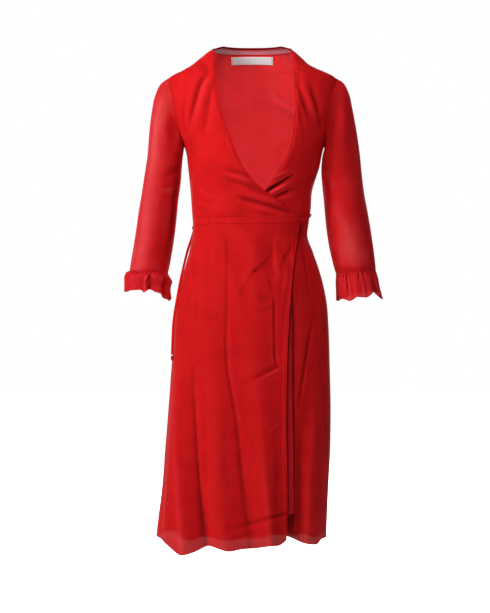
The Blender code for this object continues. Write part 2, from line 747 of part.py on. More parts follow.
def lining_lift(heights):
    """The lining hangs from the waist seam, then falls clear of the skirt's folds."""
    fallen = smooth_step(LINING_FALL_TOP, LINING_FALL_FOOT, heights)
    return LINING_TOP_DEPTH + (LINING_DEPTH - LINING_TOP_DEPTH) * fallen


angles, heights = skirt_grid(
    right_side, lap_edge(OVER_LINING_EDGE), OVER_LINING_COLUMNS, lining_steps, OVER_LINING_HEM
)
deep = lining_lift(heights)
shallow = over_lift(angles, heights) - OVER_LINING_DROP
grid = cloth_grid(angles, heights, deep + (shallow - deep) * lapped(angles, heights))
shell("skirt_lining_front_right", grid, lining_cloth)
angles, heights = skirt_grid(
    lap_edge(UNDER_LAP_EDGE), left_side, UNDER_LINING_COLUMNS, lining_steps, UNDER_LINING_HEM
)
grid = cloth_grid(angles, heights, lining_lift(heights))
shell("skirt_lining_front_left", grid, lining_cloth)
angles, heights = skirt_grid(
    lambda rows: seam_angle(rows),
    lambda rows: 180 - seam_angle(rows),
    BACK_LINING_COLUMNS,
    lining_steps,
    BACK_LINING_HEM,
)
shell("skirt_lining_back", cloth_grid(angles, heights, lining_lift(heights)), lining_cloth)


# --- Sleeves and cuff ruffles ---
def sleeve_rings(table, side):
    """Rings from the armhole to the cuff. Side is -1 for the wearer's right and 1 for the left."""
    turns = 2 * np.pi * np.arange(SLEEVE_SIDES) / SLEEVE_SIDES
    rings = []
    for ring in table:
        inner = np.array([ring.inner_x, 0, ring.inner_height])
        outer = np.array([ring.outer_x, 0, ring.outer_height])
        middle = (inner + outer) / 2
        half = (outer - inner) / 2
        reach = np.where(np.sin(turns) < 0, ring.forward, ring.backward)
        points = middle + half * np.cos(turns)[:, None]
        points[:, 1] += reach * np.sin(turns)
        rings.append(points)
    loop_height = rings[0][:, 2]
    forward = np.sin(turns) < 0
    inset = np.where(
        forward, armhole_angle(loop_height, "front"), armhole_angle(loop_height, "back")
    )
    facing = np.where(forward, -1, 1)
    angle = facing * inset if side > 0 else facing * (180 - inset)
    rings[0] = body_point(angle, loop_height)
    rings[0][:, 0] += side * SLEEVE_STANDOFF
    return np.array(rings)


def swelling(turns, swells, side):
    return sum(s.strength * np.sin(s.times * turns + s.start * side) for s in swells)


def ruffle_rings(table, flares, drop, side):
    """The gathered ruffle: it puffs out below its seam and breaks into uneven waves."""
    count = RUFFLE_WAVES * RUFFLE_POINTS_PER_WAVE
    turns = 2 * np.pi * np.arange(count) / count
    ring = table[-1]
    inner = np.array([ring.inner_x, 0, ring.inner_height])
    outer = np.array([ring.outer_x, 0, ring.outer_height])
    middle = (inner + outer) / 2
    half = (outer - inner) / 2
    across = half / np.linalg.norm(half)
    down = np.cross(across, [0, 1, 0])
    if down[2] > 0:
        down = -down
    reach = np.where(np.sin(turns) < 0, ring.forward, ring.backward)
    uneven = 1 + swelling(turns, WAVE_SWELLS, side)
    slow = swelling(turns, HEM_SWELLS, side)
    facing_away = (1 + np.cos(turns)) / 2
    length = drop.near + (drop.away - drop.near) * facing_away
    length += HEM_UNEVENNESS * drop.near * slow
    rings = []
    for flare in flares:
        wave = flare.wave * (uneven * np.cos(RUFFLE_WAVES * turns) + SWELL_IN_WAVE * slow)
        out = flare.near + (flare.away - flare.near) * facing_away + wave
        points = middle + across * ((np.linalg.norm(half) + out) * np.cos(turns))[:, None]
        points[:, 1] += (reach + out) * np.sin(turns)
        points += down * (SEAM_GAP + flare.share * length)[:, None]
        rings.append(points)
    return np.array(rings)


for side, name, table, flares, drop in (
    (-1, "right", RIGHT_SLEEVE, RIGHT_RUFFLE, RIGHT_DROP),
    (1, "left", LEFT_SLEEVE, LEFT_RUFFLE, LEFT_DROP),
):
    shell(f"sleeve_{name}", sleeve_rings(table, side), sheer, closed=True)
    shell(f"cuff_ruffle_{name}", ruffle_rings(table, flares, drop, side), sheer, closed=True)

# --- Waist tie, its knot and its free ends ---
tie_angles = np.linspace(WAIST_TIE[0].angle, WAIST_TIE[-1].angle, WAIST_TIE_STOPS)
tie_heights = column(WAIST_TIE, "angle", tie_angles, "height")
tie_standoff = column(WAIST_TIE, "angle", tie_angles, "standoff")
outwards = body_normal(tie_angles, tie_heights)
route = body_point(tie_angles, tie_heights) + outwards * tie_standoff[:, None]
cord("waist_tie", route, georgette)
knot("tie_knot", TIE_KNOT_PLACE, TIE_KNOT_RADII, georgette)
cord("tie_end_long", TIE_END_LONG, georgette)
cord("tie_end_short", TIE_END_SHORT, georgette)
end = np.array(TIE_END_LONG[-1], float)
end[2] -= TIE_END_KNOT_RADII[2] + SEAM_GAP
knot("tie_end_knot", end, TIE_END_KNOT_RADII, georgette)
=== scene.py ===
"""Long-sleeved red wrap dress, filled out as if worn, with nobody in it.

X runs to the wearer's left, Y to the wearer's back, Z up, from between the shoulders. Lengths
are millimetres until MM turns them into metres. An angle round the body is in degrees: 0 is
the wearer's left side, -90 the centre front, 90 the centre back, 180 or -180 the right side.
"""

import math
from collections import namedtuple

import bmesh
import bpy
import numpy as np
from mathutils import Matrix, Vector


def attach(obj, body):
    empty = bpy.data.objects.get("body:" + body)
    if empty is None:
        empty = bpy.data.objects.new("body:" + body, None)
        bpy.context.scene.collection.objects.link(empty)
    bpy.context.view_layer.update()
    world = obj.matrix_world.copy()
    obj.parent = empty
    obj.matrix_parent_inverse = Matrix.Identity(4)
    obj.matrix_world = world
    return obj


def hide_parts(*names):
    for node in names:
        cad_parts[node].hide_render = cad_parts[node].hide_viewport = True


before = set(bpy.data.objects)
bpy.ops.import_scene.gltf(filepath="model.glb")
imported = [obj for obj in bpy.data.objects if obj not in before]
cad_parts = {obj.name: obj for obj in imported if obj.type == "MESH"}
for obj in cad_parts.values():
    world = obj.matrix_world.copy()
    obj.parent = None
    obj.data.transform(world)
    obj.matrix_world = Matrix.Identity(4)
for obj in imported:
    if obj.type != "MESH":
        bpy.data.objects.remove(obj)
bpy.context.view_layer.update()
MM = 0.001

# --- Camera ---
# The dress is looked at straight from the front, level with the hips and from 4 m away, so
# that the sides and the hem keep their true line. One image point is 2.2 mm on the dress.
IMAGE_HEIGHT = 613
POINT_SIZE = 2.2
CAMERA_DISTANCE = 4000
CAMERA_X = -13.2
CAMERA_HEIGHT = -515.9
SENSOR = 36


def add_object(name, data):
    """A new object at the origin, put into the scene."""
    thing = bpy.data.objects.new(name, data)
    bpy.context.scene.collection.objects.link(thing)
    return thing


camera_data = bpy.data.cameras.new("camera")
camera_data.sensor_width = SENSOR
camera_data.lens = SENSOR * CAMERA_DISTANCE / (IMAGE_HEIGHT * POINT_SIZE)
camera = add_object("camera", camera_data)
camera.location = (CAMERA_X * MM, -CAMERA_DISTANCE * MM, CAMERA_HEIGHT * MM)
camera.rotation_euler = (math.radians(90), 0, 0)
bpy.context.scene.camera = camera
bpy.context.scene.view_settings.view_transform = "Standard"

# --- Tie ends and knots ---
# The tie is a narrow strap of the dress's own georgette, sewn, turned through and pressed
# soft. Both its ends hang free below the knot at the wearer's right side. The long one is
# finished with a small overhand knot and the short one is cut bare.
TIE_WIDTH = 6.0
TIE_THICKNESS = 2.4
ROUTE_SPACING = 3
TIE_END_LONG = (
    (-127, 36, -348.8), (-130.5, 28, -362), (-139.2, 8, -391), (-146.3, -11, -422),
    (-154.3, -25, -460), (-161.4, -33, -500), (-169, -36, -550), (-171, -37, -590),
    (-172, -38, -621),
)
TIE_END_SHORT = (
    (-124.8, 42, -348.4), (-126.6, 45.5, -362), (-129.5, 47, -376), (-133, 48, -392),
)
TIE_END_KNOT_PLACE = (-172, -38, -627.9)
TIE_END_KNOT_RADII = (3.6, 3.6, 6.5)
TIE_END_KNOT_STRAND = 3.6  # the strap's width where it is pulled tight
TIE_KNOT_PLACE = (-126, 38, -342)
TIE_KNOT_RADII = (5.5, 7, 6.5)
TIE_KNOT_STRAND = 5

# The deep and pale ends of the georgette's colours also serve as painted shade in the folds'
# hollows and painted highlight on their ridges.
GEORGETTE_RED = "#D91317"
GEORGETTE_PALE_AND_LIT = "#EC2B2F"
GEORGETTE_DEEP_AND_SHADED = "#760506"
THREAD_SPACING = 1.3  # drawn about three times too coarse, or no weave would show
WAVE_SCALE = 0.31416  # a wave texture's scale for one wave in each metre
CREPE_GRAIN = 1.5
SLUB_WIDTH = 3.0
SLUB_LENGTH = 45
PATCH_SIZE = 42
CRINKLE_DEPTH = 0.35
# A tone of 0 is the deepest red, 0.5 the cloth's own and 1 the palest. What changes it, and how
# far: the grain of the surface, the mottled patches, and painted shade in the folds' hollows
# with a painted highlight on their ridges.
GROUND_TONE = 0.208
SURFACE_SHARE = 0.24
PATCH_SHARE = 0.3
FOLD_SHADE_SHARE = 0.5
WEAVE_SHARE = 0.35  # of the surface, beside the grain's 1


def linear(code):
    """An sRGB hex colour as the linear colour that a shader takes."""
    shares = [int(code[i : i + 2], 16) / 255 for i in (1, 3, 5)]
    return (*(s / 12.92 if s <= 0.04045 else ((s + 0.055) / 1.055) ** 2.4 for s in shares), 1)


def add_node(tree, kind, inputs=None, **settings):
    """A new node with its settings, its values and the links that run into it."""
    node = tree.nodes.new(kind)
    for name, value in settings.items():
        setattr(node, name, value)
    for key, value in (inputs or {}).items():
        if isinstance(value, bpy.types.NodeSocket):
            tree.links.new(value, node.inputs[key])
        else:
            node.inputs[key].default_value = value
    return node


def new_material(name, finish):
    """A material whose one shader has its finish set on its own sockets."""
    material = bpy.data.materials.new(name)
    material.use_nodes = True
    shader = material.node_tree.nodes["Principled BSDF"]
    for socket, value in finish.items():
        shader.inputs[socket].default_value = value
    return material, material.node_tree, shader


def woven(
    name, pale, red, deep, opacity=1.0, roughness=0.85, crinkle=0.4, slub=0.9, glow=0, behind=0
):
    """Crinkled plain weave: matt, a little mottled, with painted shade in hollows, painted
    highlight on ridges.

    Where it is seen from the wearer's back, its tone changes by what behind says: painted light or
    shade by the way the cloth faces.
    """
    finish = {
        "Roughness": roughness,
        "Sheen Weight": 0.05,
        "Sheen Roughness": 0.45,
        "Sheen Tint": linear("#FF6060"),
        "Specular IOR Level": 0.1,
        "Subsurface Weight": glow,
        "Subsurface Radius": (1, 0.25, 0.25),
        "Subsurface Scale": 1.5 * MM,
        "Alpha": opacity,
    }
    material, tree, shader = new_material(name, finish)
    cloth = add_node(tree, "ShaderNodeUVMap", uv_map="cloth").outputs["UV"]
    place = add_node(tree, "ShaderNodeTexCoord").outputs["Object"]
    # The shade attribute is painted shade in the cloth's hollows and a painted highlight on its
    # ridges.
    painted_fold_shade = add_node(tree, "ShaderNodeAttribute", attribute_name="shade").outputs["Fac"]
    threads = {"Vector": cloth, "Scale": WAVE_SCALE / (THREAD_SPACING * MM), "Distortion": 2.5}
    threads |= {"Detail": 2.0, "Detail Scale": 1.5}
    warp = add_node(tree, "ShaderNodeTexWave", threads, bands_direction="X").outputs["Fac"]
    weft = add_node(tree, "ShaderNodeTexWave", threads, bands_direction="Y").outputs["Fac"]
    weave = add_node(tree, "ShaderNodeMath", {0: warp, 1: weft}, operation="MULTIPLY").outputs[0]
    grain_size = {"Vector": place, "Scale": 1 / (CREPE_GRAIN * MM), "Detail": 2.0}
    grain = add_node(tree, "ShaderNodeTexNoise", grain_size).outputs["Fac"]
    patch_size = {"Vector": place, "Scale": 1 / (PATCH_SIZE * MM), "Detail": 3.0}
    patches = add_node(tree, "ShaderNodeTexNoise", patch_size).outputs["Fac"]
    slub_size = {"Vector": cloth, "Scale": (1 / (SLUB_WIDTH * MM), 1 / (SLUB_LENGTH * MM), 1)}
    slubs = add_node(tree, "ShaderNodeMapping", slub_size).outputs["Vector"]
    slubs = add_node(tree, "ShaderNodeTexNoise", {"Vector": slubs, "Scale": 1.0, "Detail": 1.0})
    surface = grain
    for layer, share in ((weave, WEAVE_SHARE), (slubs.outputs["Fac"], slub)):
        layer = {0: layer, 1: share, 2: surface}
        surface = add_node(tree, "ShaderNodeMath", layer, operation="MULTIPLY_ADD").outputs[0]
    layers = [(surface, SURFACE_SHARE), (patches, PATCH_SHARE), (painted_fold_shade, FOLD_SHADE_SHARE)]
    if behind:
        # Painted shade or light on the faces turned towards the wearer's back.
        facing = add_node(tree, "ShaderNodeTexCoord").outputs["Normal"]
        facing = add_node(tree, "ShaderNodeSeparateXYZ", {"Vector": facing}).outputs["Y"]
        rear = {"Value": facing, "From Min": -0.05, "From Max": 0.05, "To Max": 1.0}
        rear = add_node(tree, "ShaderNodeMapRange", rear).outputs["Result"]
        layers.append((rear, behind))
    tone = GROUND_TONE - SURFACE_SHARE / 2 * slub
    for layer, share in layers:
        layer = {0: layer, 1: share, 2: tone}
        tone = add_node(tree, "ShaderNodeMath", layer, operation="MULTIPLY_ADD").outputs[0]
    ramp = add_node(tree, "ShaderNodeValToRGB", {"Fac": tone})
    ramp.color_ramp.elements[0].color = linear(deep)
    ramp.color_ramp.elements[1].color = linear(pale)
    ramp.color_ramp.elements.new(0.5).color = linear(red)
    bump = {"Strength": crinkle, "Distance": CRINKLE_DEPTH * MM, "Height": surface}
    bump = add_node(tree, "ShaderNodeBump", bump).outputs["Normal"]
    tree.links.new(ramp.outputs["Color"], shader.inputs["Base Color"])
    tree.links.new(bump, shader.inputs["Normal"])
    return material


georgette = woven("red_georgette", GEORGETTE_PALE_AND_LIT, GEORGETTE_RED, GEORGETTE_DEEP_AND_SHADED)


def read_smooth(at, known, value):
    """A smooth curve through known values, read at any value of its key."""
    slope = np.gradient(known, at, axis=0)
    value = np.clip(value, at[0], at[-1])
    low = np.clip(np.searchsorted(at, value) - 1, 0, len(at) - 2)
    span = at[low + 1] - at[low]
    t = (value - at[low]) / span
    if known.ndim > 1:
        span, t = (part.reshape(-1, *[1] * (known.ndim - 1)) for part in (span, t))
    start = (2 * t**3 - 3 * t**2 + 1) * known[low] + (t**3 - 2 * t**2 + t) * span * slope[low]
    end = (3 * t**2 - 2 * t**3) * known[low + 1] + (t**3 - t**2) * span * slope[low + 1]
    return start + end


def column(table, key, value, wanted):
    """One named column of a table, read smoothly at any value of its key column."""
    rows = sorted(table, key=lambda row: getattr(row, key))
    at = np.array([getattr(row, key) for row in rows], float)
    known = np.array([getattr(row, wanted) for row in rows], float)
    return read_smooth(at, known, value)


def along(points):
    """The distance from the first point to each one."""
    steps = np.linalg.norm(np.diff(points, axis=0), axis=-1)
    return np.concatenate([np.zeros_like(steps[:1]), np.cumsum(steps, axis=0)])


def smooth_route(route, spacing):
    """Points at an even spacing on the smooth curve through the route's own points."""
    route = np.array(route, float)
    at = along(route)
    return read_smooth(at, route, np.linspace(0, at[-1], math.ceil(at[-1] / spacing) + 1))


def unit(vectors):
    """Vectors of length 1 in the same directions."""
    return vectors / np.linalg.norm(vectors, axis=-1, keepdims=True)


def add_mesh(name, points, faces, material, corners, shade=None):
    """A smooth mesh from points in millimetres, with its cloth map and its painted fold shade."""
    data = bpy.data.meshes.new(name)
    data.from_pydata((np.asarray(points) * MM).tolist(), [], faces.tolist())
    cloth_map = data.uv_layers.new(name="cloth")
    cloth_map.data.foreach_set("uv", (corners * MM).ravel())
    painted_shade_layer = data.attributes.new("shade", "FLOAT", "POINT")
    painted_shade_layer.data.foreach_set("value", np.zeros(len(points)) if shade is None else shade)
    data.validate()
    data.shade_smooth()
    data.materials.append(material)
    return add_object(name, data)


STRAP_SIDES = 12
STRAP_ROUNDING = 0.8  # 1 is an ellipse, less is boxier


def strap(name, route, facing, material, width=TIE_WIDTH, thickness=TIE_THICKNESS, loop=False):
    """A soft strap along a route, its flat side turned the way that facing says."""
    sides = STRAP_SIDES
    forward = np.roll(route, -1, axis=0) - np.roll(route, 1, axis=0)
    if not loop:
        forward = np.gradient(route, axis=0)
    forward = unit(forward)
    across = unit(np.cross(forward, facing))
    outward = unit(np.cross(across, forward))
    turns = 2 * np.pi * np.arange(sides) / sides
    flat = np.sign(np.cos(turns)) * np.abs(np.cos(turns)) ** STRAP_ROUNDING * width / 2
    deep = np.sign(np.sin(turns)) * np.abs(np.sin(turns)) ** STRAP_ROUNDING * thickness / 2
    rings = route[:, None] + across[:, None] * flat[:, None] + outward[:, None] * deep[:, None]
    count = len(route)
    index = np.arange(count * sides).reshape(count, sides)
    if loop:
        index = np.concatenate([index, index[:1]])
    a, b = index[:-1], index[1:]
    faces = np.stack([a, np.roll(a, -1, axis=1), np.roll(b, -1, axis=1), b], axis=-1)
    faces = faces.reshape(-1, 4)
    lengths = along(route)
    points = rings.reshape(-1, 3)
    if not loop:
        ends = len(points)
        points = np.concatenate([points, route[:1], route[-1:]])
        first = np.arange(sides)
        last = first + (count - 1) * sides
        caps = [[ends, (i + 1) % sides, i] for i in first]
        caps += [[ends + 1, i, last[0] + (i + 1 - last[0]) % sides] for i in last]
    low = np.repeat(np.arange(len(a)), sides)
    places = np.concatenate([lengths, lengths[-1:] + 1])
    around = np.tile(np.arange(sides), len(a)) * width * 2 / sides
    step = width * 2 / sides
    corners = [
        np.stack([around + aside, places[low + ahead]], axis=-1)
        for aside, ahead in ((0, 0), (step, 0), (step, 1), (0, 1))
    ]
    corners = np.stack(corners, axis=1).reshape(-1, 2)
    thing = add_mesh(name, points, faces, material, corners)
    if not loop:
        close_ends(thing.data, caps)
    return thing


def close_ends(data, caps):
    """Adds the end faces, which keep the strap closed."""
    mesh = bmesh.new()
    mesh.from_mesh(data)
    mesh.verts.ensure_lookup_table()
    for cap in caps:
        mesh.faces.new([mesh.verts[int(i)] for i in cap]).smooth = True
    mesh.to_mesh(data)
    mesh.free()


KNOT_STEPS = 72
KNOT_FLATNESS = 0.8  # a knotted strand's thickness over its width


def overhand_knot(name, place, radii, strand, material):
    """A small pulled-tight knot: one strand wound through itself, filling the given radii."""
    turns = 2 * np.pi * np.arange(KNOT_STEPS) / KNOT_STEPS
    x = np.sin(turns) + 2 * np.sin(2 * turns)
    y = -np.sin(3 * turns)
    z = np.cos(turns) - 2 * np.cos(2 * turns)
    wound = np.stack([x, y, z], axis=1)
    room = np.array(radii) - strand / 2
    wound = wound / np.abs(wound).max(axis=0) * room
    flattened = strand * KNOT_FLATNESS
    return strap(name, wound + place, unit(wound), material, strand, flattened, loop=True)


front_facing = np.array([-0.35, -1, 0])
long_route = smooth_route(TIE_END_LONG, ROUTE_SPACING)
tie_end_long = strap("tie_end_long_cloth", long_route, front_facing, georgette)
tie_end_knot = overhand_knot(
    "tie_end_knot_cloth", TIE_END_KNOT_PLACE, TIE_END_KNOT_RADII, TIE_END_KNOT_STRAND, georgette
)
short_route = smooth_route(TIE_END_SHORT, ROUTE_SPACING)
tie_end_short = strap("tie_end_short_cloth", short_route, front_facing, georgette)
tie_knot = overhand_knot(
    "tie_knot_cloth", TIE_KNOT_PLACE, TIE_KNOT_RADII, TIE_KNOT_STRAND, georgette
)
for piece, node in (
    (tie_end_long, "tie_end_long"),
    (tie_end_knot, "tie_end_knot"),
    (tie_end_short, "tie_end_short"),
    (tie_knot, "tie_knot"),
):
    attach(piece, "root")
    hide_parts(node)

# --- Bodice back ---
# One panel of georgette, cut whole from the neck seam to the waist. It hangs from the shoulder
# seams, so it is smooth over the shoulder blades and slackens into soft folds at the waist.
SEAM_GAP = 0.4
CLOTH_WALL = 0.6
SECTION_POWER = 2.2  # 2 is an ellipse, more is boxier
NECK_SEAM = 46
SHOULDER_POINT = -12
UNDERARM = -166
WAIST_SEAM = -324


def named_rows(columns, *rows):
    """A table of numbers whose columns have names."""
    row = namedtuple("row", columns)
    return [row(*numbers) for numbers in rows]


# How far the form that fills the dress reaches to each side from the line of the origin.
BODY = named_rows(
    "height right left front back",
    (66, 58, 64, 46, 58), (50, 84, 89, 54, 66), (40, 98, 101, 58, 69), (28, 114, 114, 63, 73),
    (13, 132, 131, 69, 78), (4, 147, 149, 73, 81), (-4, 164, 168, 75, 83), (-12, 178, 183, 78, 85),
    (-26, 182, 187, 84, 88.5), (-46, 182.5, 187.5, 92, 92), (-80, 177, 182, 106, 96),
    (-115, 168, 175, 117, 99), (-150, 154, 166, 123, 100), (-166, 146, 160, 125, 100),
    (-211, 138, 150, 122, 98), (-264, 133, 134, 106, 93), (-304, 130, 131, 96, 88),
    (-332, 128, 127, 92, 86), (-361, 129.5, 124, 93, 89), (-396, 136, 136, 97, 97),
    (-436, 147, 150, 102, 107), (-490, 160.5, 163.5, 107, 116), (-520, 166, 168, 109, 119),
    (-550, 168.5, 170, 111, 121), (-600, 171, 172, 114, 123), (-645, 174.5, 173, 116, 124),
    (-733, 181, 175, 121, 127), (-821, 188, 174, 125, 130), (-909, 195, 170, 129, 133),
    (-1020, 208, 165, 134, 137), (-1060, 210, 164, 135, 138),
)
# The angle that each armhole's front and back edges reach in from the side line.
ARMHOLE = named_rows(
    "height front back",
    (-12, 0, 0), (-27, 12, 13), (-48, 19, 19), (-72, 22, 21), (-99, 21, 20), (-127, 16, 16),
    (-150, 9, 10), (-166, 0, 0),
)


def smooth_step(low, high, value):
    """0 up to low and 1 from high on, with an even swing between them."""
    t = np.clip((value - low) / (high - low), 0, 1)
    return t * t * (3 - 2 * t)


def body_reach(height, *sides):
    """How far the form reaches to each of some sides at a height."""
    return [column(BODY, "height", height, side) for side in sides]


def body_point(angle, height):
    """The surface of the form that the cloth hangs on."""
    angle, height = np.broadcast_arrays(np.asarray(angle, float), np.asarray(height, float))
    across = np.cos(np.radians(angle))
    deep = np.sin(np.radians(angle))
    right, left, front, back = body_reach(height, "right", "left", "front", "back")
    power = 2 / SECTION_POWER
    x = np.where(across < 0, -right, left) * np.abs(across) ** power
    y = np.where(deep < 0, -front, back) * np.abs(deep) ** power
    return np.stack([x, y, height], axis=-1)


def body_normal(angle, height):
    """The unit vector that points out of the form."""
    around = body_point(angle + 1, height) - body_point(angle - 1, height)
    upward = body_point(angle, height + 2) - body_point(angle, height - 2)
    return unit(np.cross(around, upward))


def angle_at(x, height, side=-1):
    """The angle where the form reaches X: side -1 is its front and 1 its back."""
    x = np.asarray(x, float)
    right, left = body_reach(height, "right", "left")
    reach = np.clip(np.abs(x) / np.where(x < 0, right, left), 0, 1)
    return side * np.degrees(np.arccos(np.sign(x) * reach ** (SECTION_POWER / 2)))


def arc_length(angle, height):
    """Distance round the form from its left side, near enough to lay creases by."""
    right, left, front, back = body_reach(height, "right", "left", "front", "back")
    return np.radians(angle) * ((right + left) + (front + back)) / 4


def seam_angle(height):
    """The small angle that half a seam's gap takes up at the side of the form."""
    (depth,) = body_reach(height, "front")
    return np.degrees(np.arcsin((SEAM_GAP / 2 / depth) ** (SECTION_POWER / 2)))


def armhole_angle(height, edge):
    """How far the armhole's edge lies in from the side line, or the seam's half gap."""
    inside = column(ARMHOLE, "height", height, edge)
    open_here = (height <= SHOULDER_POINT) & (height >= UNDERARM)
    return np.maximum(np.where(open_here, inside, 0), seam_angle(height))


def away_from_sides(angle, height, reach=24):
    """0 on the side and shoulder seams, 1 a little way in from them."""
    inward = np.minimum(np.abs(angle), 180 - np.abs(angle))
    return smooth_step(0, reach, arc_length(inward, height))


def between(start, end, count):
    """Angles from start to end on each row, evenly spaced."""
    return start[:, None] + (end - start)[:, None] * np.linspace(0, 1, count)[None, :]


# A crease runs through its route's points. Each gives X, a height and a depth: a ridge is
# positive, a trough negative. Its two widths are how far it falls away towards the wearer's
# right (or down) and the wearer's left (or up), so it can be sharp on one side only.
Crease = namedtuple("Crease", "right left route")
CREASE_STEPS = 14


def crease_rise(across, down, creases):
    """How far creases raise or sink the cloth. Their routes are in the same two lengths."""
    total = np.zeros_like(across)
    for crease in creases:
        line = np.array(crease.route, float)
        at = along(line[:, :2])
        line = read_smooth(at, line, np.linspace(0, at[-1], CREASE_STEPS))
        nearest = np.full(across.shape, np.inf)
        depth = np.zeros_like(across)
        width = np.ones_like(across)
        for (s0, h0, d0), (s1, h1, d1) in zip(line, line[1:]):
            ds = s1 - s0
            dh = h1 - h0
            t = np.clip(((across - s0) * ds + (down - h0) * dh) / (ds**2 + dh**2), 0, 1)
            off_across = across - s0 - t * ds
            off_down = down - h0 - t * dh
            away = np.hypot(off_across, off_down)
            closer = away < nearest
            nearest = np.where(closer, away, nearest)
            depth = np.where(closer, d0 + t * (d1 - d0), depth)
            leftward = off_down * ds - off_across * dh > 0
            width = np.where(closer, np.where(leftward, crease.left, crease.right), width)
        total += depth * np.exp(-((nearest / width) ** 2))
    return total


def laid(creases, side=-1):
    """Creases whose points give X and height, laid on the form's front (-1) or back (1)."""
    result = []
    for crease in creases:
        x, height, depth = np.array(crease.route, float).T
        around = arc_length(angle_at(x, height, side), height)
        result.append(crease._replace(route=np.stack([around, height, depth], axis=1)))
    return result


def ripples(across, down, seed, depth, size, stretch=2.5):
    """Faint unevenness of a depth: waves in random directions, longer down than across."""
    draw = np.random.default_rng(seed)
    total = np.zeros_like(across)
    waves = 14
    for _ in range(waves):
        length = size * draw.uniform(0.6, 1.8)
        turn = draw.normal(0, 0.6)
        reach = across * math.cos(turn) + down * math.sin(turn) / stretch
        total += np.sin(2 * np.pi * (reach / length + draw.uniform(0, 1)))
    return depth * (total / math.sqrt(waves / 2))


def smoothed(values, reach, closed=False):
    """The running mean of a grid over a square of cells."""
    for axis in (0, 1):
        pad = [(0, 0), (0, 0)]
        pad[axis] = (reach + 1, reach)
        wide = np.pad(values, pad, mode="wrap" if closed and axis == 1 else "edge")
        total = np.cumsum(wide, axis=axis)
        count = values.shape[axis]
        window = 2 * reach + 1
        ahead = np.take(total, range(window, window + count), axis=axis)
        behind = np.take(total, range(count), axis=axis)
        values = (ahead - behind) / window
    return values


def no_deeper(values, floor):
    """Values held above a floor, with a soft turn where they meet it."""
    softness = 0.4
    return softness * np.logaddexp(values / softness, floor / softness)


FOLD_SHADE_DEPTH = 2.8  # a trough this deep below the cloth round it is painted fully dark
FOLD_SHADE_REACH = 4  # how many cells to each side count as the cloth round it


def cloth(name, points, material, rise=None, wall=CLOTH_WALL, closed=False, tone=0):
    """A sheet through a grid of points whose rows run down, with a thin wall on its inside.

    Its hollows get painted shade and its ridges a painted highlight. Its tone adds painted shade in
    a gap (below 0) or the painted light that comes through (above 0).
    """
    rows, columns = points.shape[:2]
    index = np.arange(rows * columns).reshape(rows, columns)
    ring = points
    if closed:
        index = np.concatenate([index, index[:, :1]], axis=1)
        ring = np.concatenate([points, points[:, :1]], axis=1)
    across = along(ring.transpose(1, 0, 2)).T
    down = along(ring)
    cloth_map = np.stack([across, -down], axis=-1)

    def cells(grid):
        return np.stack([grid[:-1, :-1], grid[1:, :-1], grid[1:, 1:], grid[:-1, 1:]], axis=2)

    faces = cells(index).reshape(-1, 4)
    corners = cells(cloth_map).reshape(-1, 4, 2)
    middle = points.mean(axis=1)[:, None]
    if not closed:
        middle = middle * np.array([0, 0, 1])
    diagonals = points[1:, 1:] - points[:-1, :-1], points[1:, :-1] - points[:-1, 1:]
    normals = np.cross(diagonals[1], diagonals[0])
    if (normals * (points - middle)[:-1, :-1]).sum() < 0:
        faces = faces[:, ::-1]
        corners = corners[:, ::-1]
    shade = np.zeros((rows, columns))
    # Painted shade in hollows and a painted highlight on ridges, by how far the cloth lies below or
    # above the cloth round it.
    if rise is not None:
        level = smoothed(smoothed(rise, FOLD_SHADE_REACH, closed), FOLD_SHADE_REACH, closed)
        proud = rise - level
        shade = np.clip(proud / FOLD_SHADE_DEPTH, -1, 1)
    shade = shade + tone
    thing = add_mesh(
        name, points.reshape(-1, 3), faces, material, corners.reshape(-1, 2), shade.ravel()
    )
    thicken = thing.modifiers.new("wall", "SOLIDIFY")
    thicken.thickness = wall * MM
    thicken.offset = -1
    return thing


def on_form(angles, heights, rise):
    """Points that stand proud of the form by rise."""
    rise = np.asarray(rise, float)[..., None]
    return body_point(angles, heights) + body_normal(angles, heights) * rise


ARMHOLE_STEPS = 56
armhole_middle = (SHOULDER_POINT + UNDERARM) / 2
armhole_half = (SHOULDER_POINT - UNDERARM) / 2
armhole_turns = np.pi * np.arange(ARMHOLE_STEPS + 1) / ARMHOLE_STEPS
armhole_heights = armhole_middle + armhole_half * np.cos(armhole_turns)
shoulder_heights = np.linspace(NECK_SEAM, SHOULDER_POINT, 28)[:-1]
waist_heights = np.linspace(UNDERARM, WAIST_SEAM + SEAM_GAP / 2, 80)[1:]
bodice_heights = np.concatenate([shoulder_heights, armhole_heights, waist_heights])
front_in = armhole_angle(bodice_heights, "front")
back_in = armhole_angle(bodice_heights, "back")

BACK_BODICE_CREASES = (
    # Drawn from the neck towards the left armhole, and slack beside it.
    Crease(4, 7, ((34, -6, 0), (50, -35, 2.4), (71, -59, 3), (85, -70, 2), (100, -92, 0))),
    Crease(6, 4, ((52, -52, 0), (68, -70, -2), (88, -86, -1), (104, -104, 0))),
    Crease(7, 12, ((-120, -20, 0), (-108, -70, -2), (-112, -130, 0))),
    Crease(12, 7, ((128, -20, 0), (118, -75, -2), (122, -140, 0))),
    Crease(8, 14, ((-76, -200, 0), (-52, -270, -3), (-46, -326, -1))),
    Crease(14, 8, ((66, -190, 0), (50, -265, -3), (42, -326, -1))),
    Crease(9, 9, ((-96, -235, 0), (-84, -285, -2.5), (-80, -326, -1))),
    Crease(8, 10, ((98, -215, 0), (88, -280, 2), (82, -326, 0))),
    Crease(10, 7, ((8, -240, 0), (4, -290, 2), (2, -326, 0))),
    Crease(6, 12, ((-142, -180, 0), (-100, -205, -2), (-60, -222, 0))),
    Crease(12, 6, ((148, -185, 0), (108, -212, -2), (64, -226, 0))),
    Crease(6, 9, ((-126, -282, 0), (-84, -300, -2), (-30, -308, 0))),
    Crease(9, 6, ((126, -274, 0), (80, -296, 2), (20, -302, 0))),
)
BACK_NECK_SHADE = (
    Crease(1.8, 1.8, ((38, -14, 0), (52, -40, 0.5), (70, -62, 0.9), (84, -74, 1), (98, -90, 0.4))),
)
